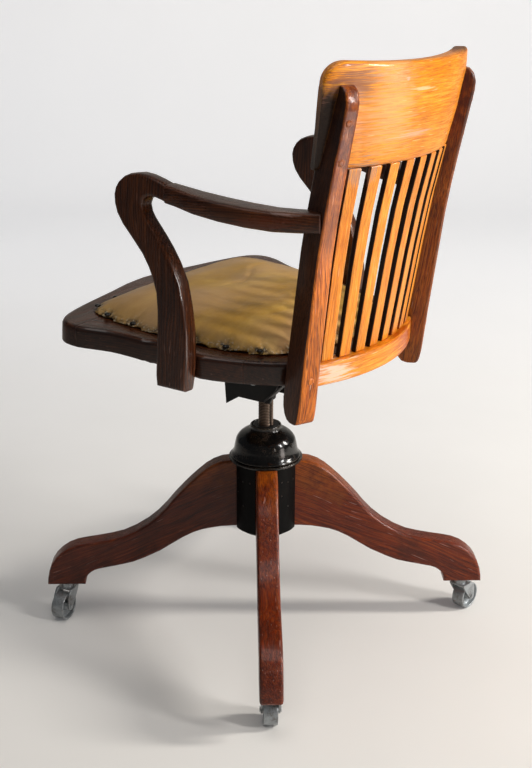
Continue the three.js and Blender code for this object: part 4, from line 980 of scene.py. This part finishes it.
# %% Turned pieces
DOME_SIDE = [
    (0.0522, 0.2719), (0.0530, 0.2732), (0.0523, 0.2750), (0.0503, 0.2778), (0.0488, 0.2812),
    (0.0477, 0.2855), (0.0466, 0.2915), (0.0443, 0.3001), (0.0392, 0.3070), (0.0318, 0.3121),
    (0.0255, 0.3146), (0.0236, 0.3170), (0.0236, 0.3206), (0.0228, 0.3219), (0.0215, 0.3214),
    (0.0212, 0.3198)]
DOME_MOUTH = [(0.0212, 0.3176), (0.0165, 0.3172), (0.0165, 0.2719)]
FLANGE_CORNERS = [(0.0165, 0.2673), (0.056, 0.2673), (0.056, 0.2713), (0.0165, 0.2713)]
WHEEL_HALF = [(0.0027, 0.010), (0.006, 0.010), (0.0085, 0.0025), (0.0185, 0.0025), (0.0187, 0.010),
              (0.0215, 0.010)]
WHEEL_CORNERS = [(radius, -height) for radius, height in WHEEL_HALF] + WHEEL_HALF[::-1]


def rounded_profile(corners, radius):
    """A closed profile with every corner cut back by a radius and bridged by a quadratic curve."""
    corners = np.asarray(corners, float)
    before, after = np.roll(corners, 1, 0), np.roll(corners, -1, 0)
    back = np.linalg.norm(before - corners, axis=1, keepdims=True)
    on = np.linalg.norm(after - corners, axis=1, keepdims=True)
    cut = np.minimum(radius, 0.45 * np.minimum(back, on))
    start = corners + (before - corners) / back * cut
    end = corners + (after - corners) / on * cut
    t = np.linspace(0, 1, 4)[None, :, None]
    curve = (1 - t) ** 2 * start[:, None] + 2 * t * (1 - t) * corners[:, None] + t ** 2 * end[:, None]
    return curve.reshape(-1, 2)


def turned(name, profile, at=(0, 0, 0), axis=(0, 0, 1), columns=96):
    """A closed profile of radius and height carried round an axis through a point."""
    return surface(name, carried_round(profile, at, axis, columns), closed_rows=True, sharp_from=40)


dome = turned("hub_dome_spun", np.vstack([smooth_line(DOME_SIDE, 5), DOME_MOUTH]))
finish_piece(dome, "hub", ENAMEL, ["hub_dome"])
flange = turned("hub_flange_pressed", rounded_profile(FLANGE_CORNERS, 0.0013))
finish_piece(flange, "base", ENAMEL, ["hub_flange"])
rolls = {joint["name"][12:]: joint for joint in frame["joints"] if joint["name"].startswith("caster_roll_")}
for corner, joint in rolls.items():
    rim = rounded_profile(WHEEL_CORNERS, 0.0012)
    wheel = turned(f"caster_wheel_{corner}_cast", rim, joint["pos_m"], joint["axis"], 56)
    finish_piece(wheel, f"wheel_{corner}", STEEL, [f"caster_wheel_{corner}"])
print("dome, flange and", len(rolls), "wheels")

# %% [markdown]
# ## The screw
# The spindle is a long steel screw with a keyway down one side. Its thread is one surface over
# turn and height: the radius falls in a triangle wave of height less turn times pitch, and drops
# to the floor of the slot inside the keyway. A real cut thread would need far more faces.

# %% Thread and keyway
SCREW_LOW, SCREW_HIGH = 0.1985, 0.3885
THREAD_LOW, THREAD_HIGH = 0.2000, 0.3630
SCREW_RADIUS, PITCH, THREAD_DEPTH = 0.01125, 0.0025, 0.0011
KEYWAY_TURN, KEYWAY_HALF, KEYWAY_FLOOR, KEYWAY_TOP = math.radians(77), 0.0021, 0.0083, 0.3635


def threaded_spindle():
    """Radius over turn and height: a triangle wave of the pitch, and the flat floor of the keyway."""
    heights = np.linspace(SCREW_LOW, SCREW_HIGH, 610)
    turns = np.linspace(0, 2 * math.pi, 72, endpoint=False)
    z, turn = np.meshgrid(heights, turns, indexing="ij")
    phase = (z / PITCH - turn / (2 * math.pi)) % 1
    ridge = np.clip(1.25 * (1 - np.abs(2 * phase - 1)) - 0.12, 0, 1)
    plain = np.clip((z - THREAD_HIGH) / 0.0006, 0, 1) + np.clip((THREAD_LOW - z) / 0.0008, 0, 1)
    radius = SCREW_RADIUS - THREAD_DEPTH * (1 - ridge) * (1 - np.clip(plain, 0, 1))
    off = (turn - KEYWAY_TURN + math.pi) % (2 * math.pi) - math.pi
    inside = (np.abs(radius * np.sin(off)) < KEYWAY_HALF + 0.0002) & (np.abs(off) < 1) & (z < KEYWAY_TOP)
    radius = np.where(inside, KEYWAY_FLOOR / np.cos(np.where(inside, off, 0)), radius)
    points = np.stack([radius * np.cos(turn), radius * np.sin(turn), z], -1)
    return surface("screw_thread", points, sharp_from=50)


screw = threaded_spindle()
depth = SCREW_RADIUS - np.hypot(*vertices_of(screw.data)[:, :2].T)
set_amount(screw.data, "grease", np.clip((depth - 0.0003) / 0.0007, 0, 0.9))
finish_piece(screw, "screw", SCREW_STEEL, ["spindle"])
print("screw faces", len(screw.data.polygons))

# %% [markdown]
# ## The tilt spring
# A coil stands on the shelf of the yoke under the seat iron. It is a circle carried along a helix;
# its ends lie flat where they bear. On the chair it shortens when the seat leans back, so it is
# squashed by the tilt instead of being stretched; here the coil is one fixed shape that rides with the screw.

# %% Spring
def coil(centre, low, high, radius, wire, turns):
    """A round wire along a helix whose rise slows down to nothing at both ends."""
    t = np.linspace(0, 1, int(turns * 28) + 1)
    eased = np.clip((t - 0.06) / 0.88, 0, 1)
    angle = turns * 2 * math.pi * t
    out = np.c_[np.cos(angle), np.sin(angle), 0 * t]
    spine = radius * out + np.c_[0 * t, 0 * t, low + wire + (high - low - 2 * wire) * eased] + (*centre, 0)
    up = np.cross(unit(np.gradient(spine, axis=0)), out)
    around = np.linspace(0, 2 * math.pi, 12, endpoint=False)[None, :, None]
    return spine[:, None] + wire * (np.cos(around) * out[:, None] + np.sin(around) * up[:, None])


spring_low, spring_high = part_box("tilt_spring")
spring = surface("tilt_spring_coil", coil((0, 0.035), spring_low.z, spring_high.z, 0.012, 0.002, 6))
finish_piece(spring, "screw", SPRING_STEEL, ["tilt_spring"])
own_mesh(spring)
print("spring rises", round((spring_high.z - spring_low.z) * 1000, 1), "mm")

# %% [markdown]
# ## Cast and pressed metal
# The iron under the seat, the yoke, the horns of the casters and the cover plates keep their
# solids, with eased edges. What stays inside the hub or the feet is shown as the solid itself.

# %% Carried-over metal
def casting(node, material, rounding):
    """A metal piece from a node: its merged copy with eased edges."""
    piece = copy_of(node, node + "_metal", rounding, sharp_from=30)
    return finish_piece(piece, BODY_OF[node], material, [node])


for node in ("seat_iron", "tilt_yoke"):
    casting(node, CAST_IRON, 0.0008)
for count in range(1, 5):
    casting(f"cover_plate_{count}", PLATE_BLACK, 0.0004)
casting("key_collar", CAST_IRON, 0.0006)
casting("pivot_pin", STEEL, 0.0006)
for corner in rolls:
    for part, rounding in (("horn", 0.0006), ("axle", 0.0005), ("socket", 0.0004)):
        casting(f"caster_{part}_{corner}", STEEL, rounding)

# %% [markdown]
# ## What the solids still show
# The plywood under the pad, the core of the hub, its cap and the nut only need a finish. Plywood is
# the one pale material: thin wood whose layers show at its edge.

# %% Plywood and the hidden solids
def plywood_finish():
    """Pale veneer with long streaks, browned by age in clouds."""
    material, tree, shader = new_material("old_plywood")
    place = on_chair(tree)
    streaks = noise(place, (240, 9, 300), 4.0)
    veneer = shades(streaks, (0.3, "6b4c2c"), (0.7, "96734a"))
    age = band(noise(place, (16, 16, 16), 4.0), 0.45, 0.7, 0.0, 0.6)
    plug(shader, {
        "Base Color": mixed(age, veneer, "4a3420"),
        "Roughness": band(streaks, 0.3, 0.7, 0.6, 0.8),
        "Normal": relieved(streaks, 0.3, 0.0004)})
    return material


plain_finishes = {"seat_panel": plywood_finish(), "hub_core": CAST_IRON, "hub_bottom_cap": CAST_IRON,
                  "height_nut": STEEL}
for node, material in plain_finishes.items():
    solid = frame["nodes"][node]
    solid.data.materials.clear()
    solid.data.materials.append(material)
left_plain = [name for name, solid in frame["nodes"].items() if not solid.hide_render]
print("solids still shown:", ", ".join(sorted(left_plain)))
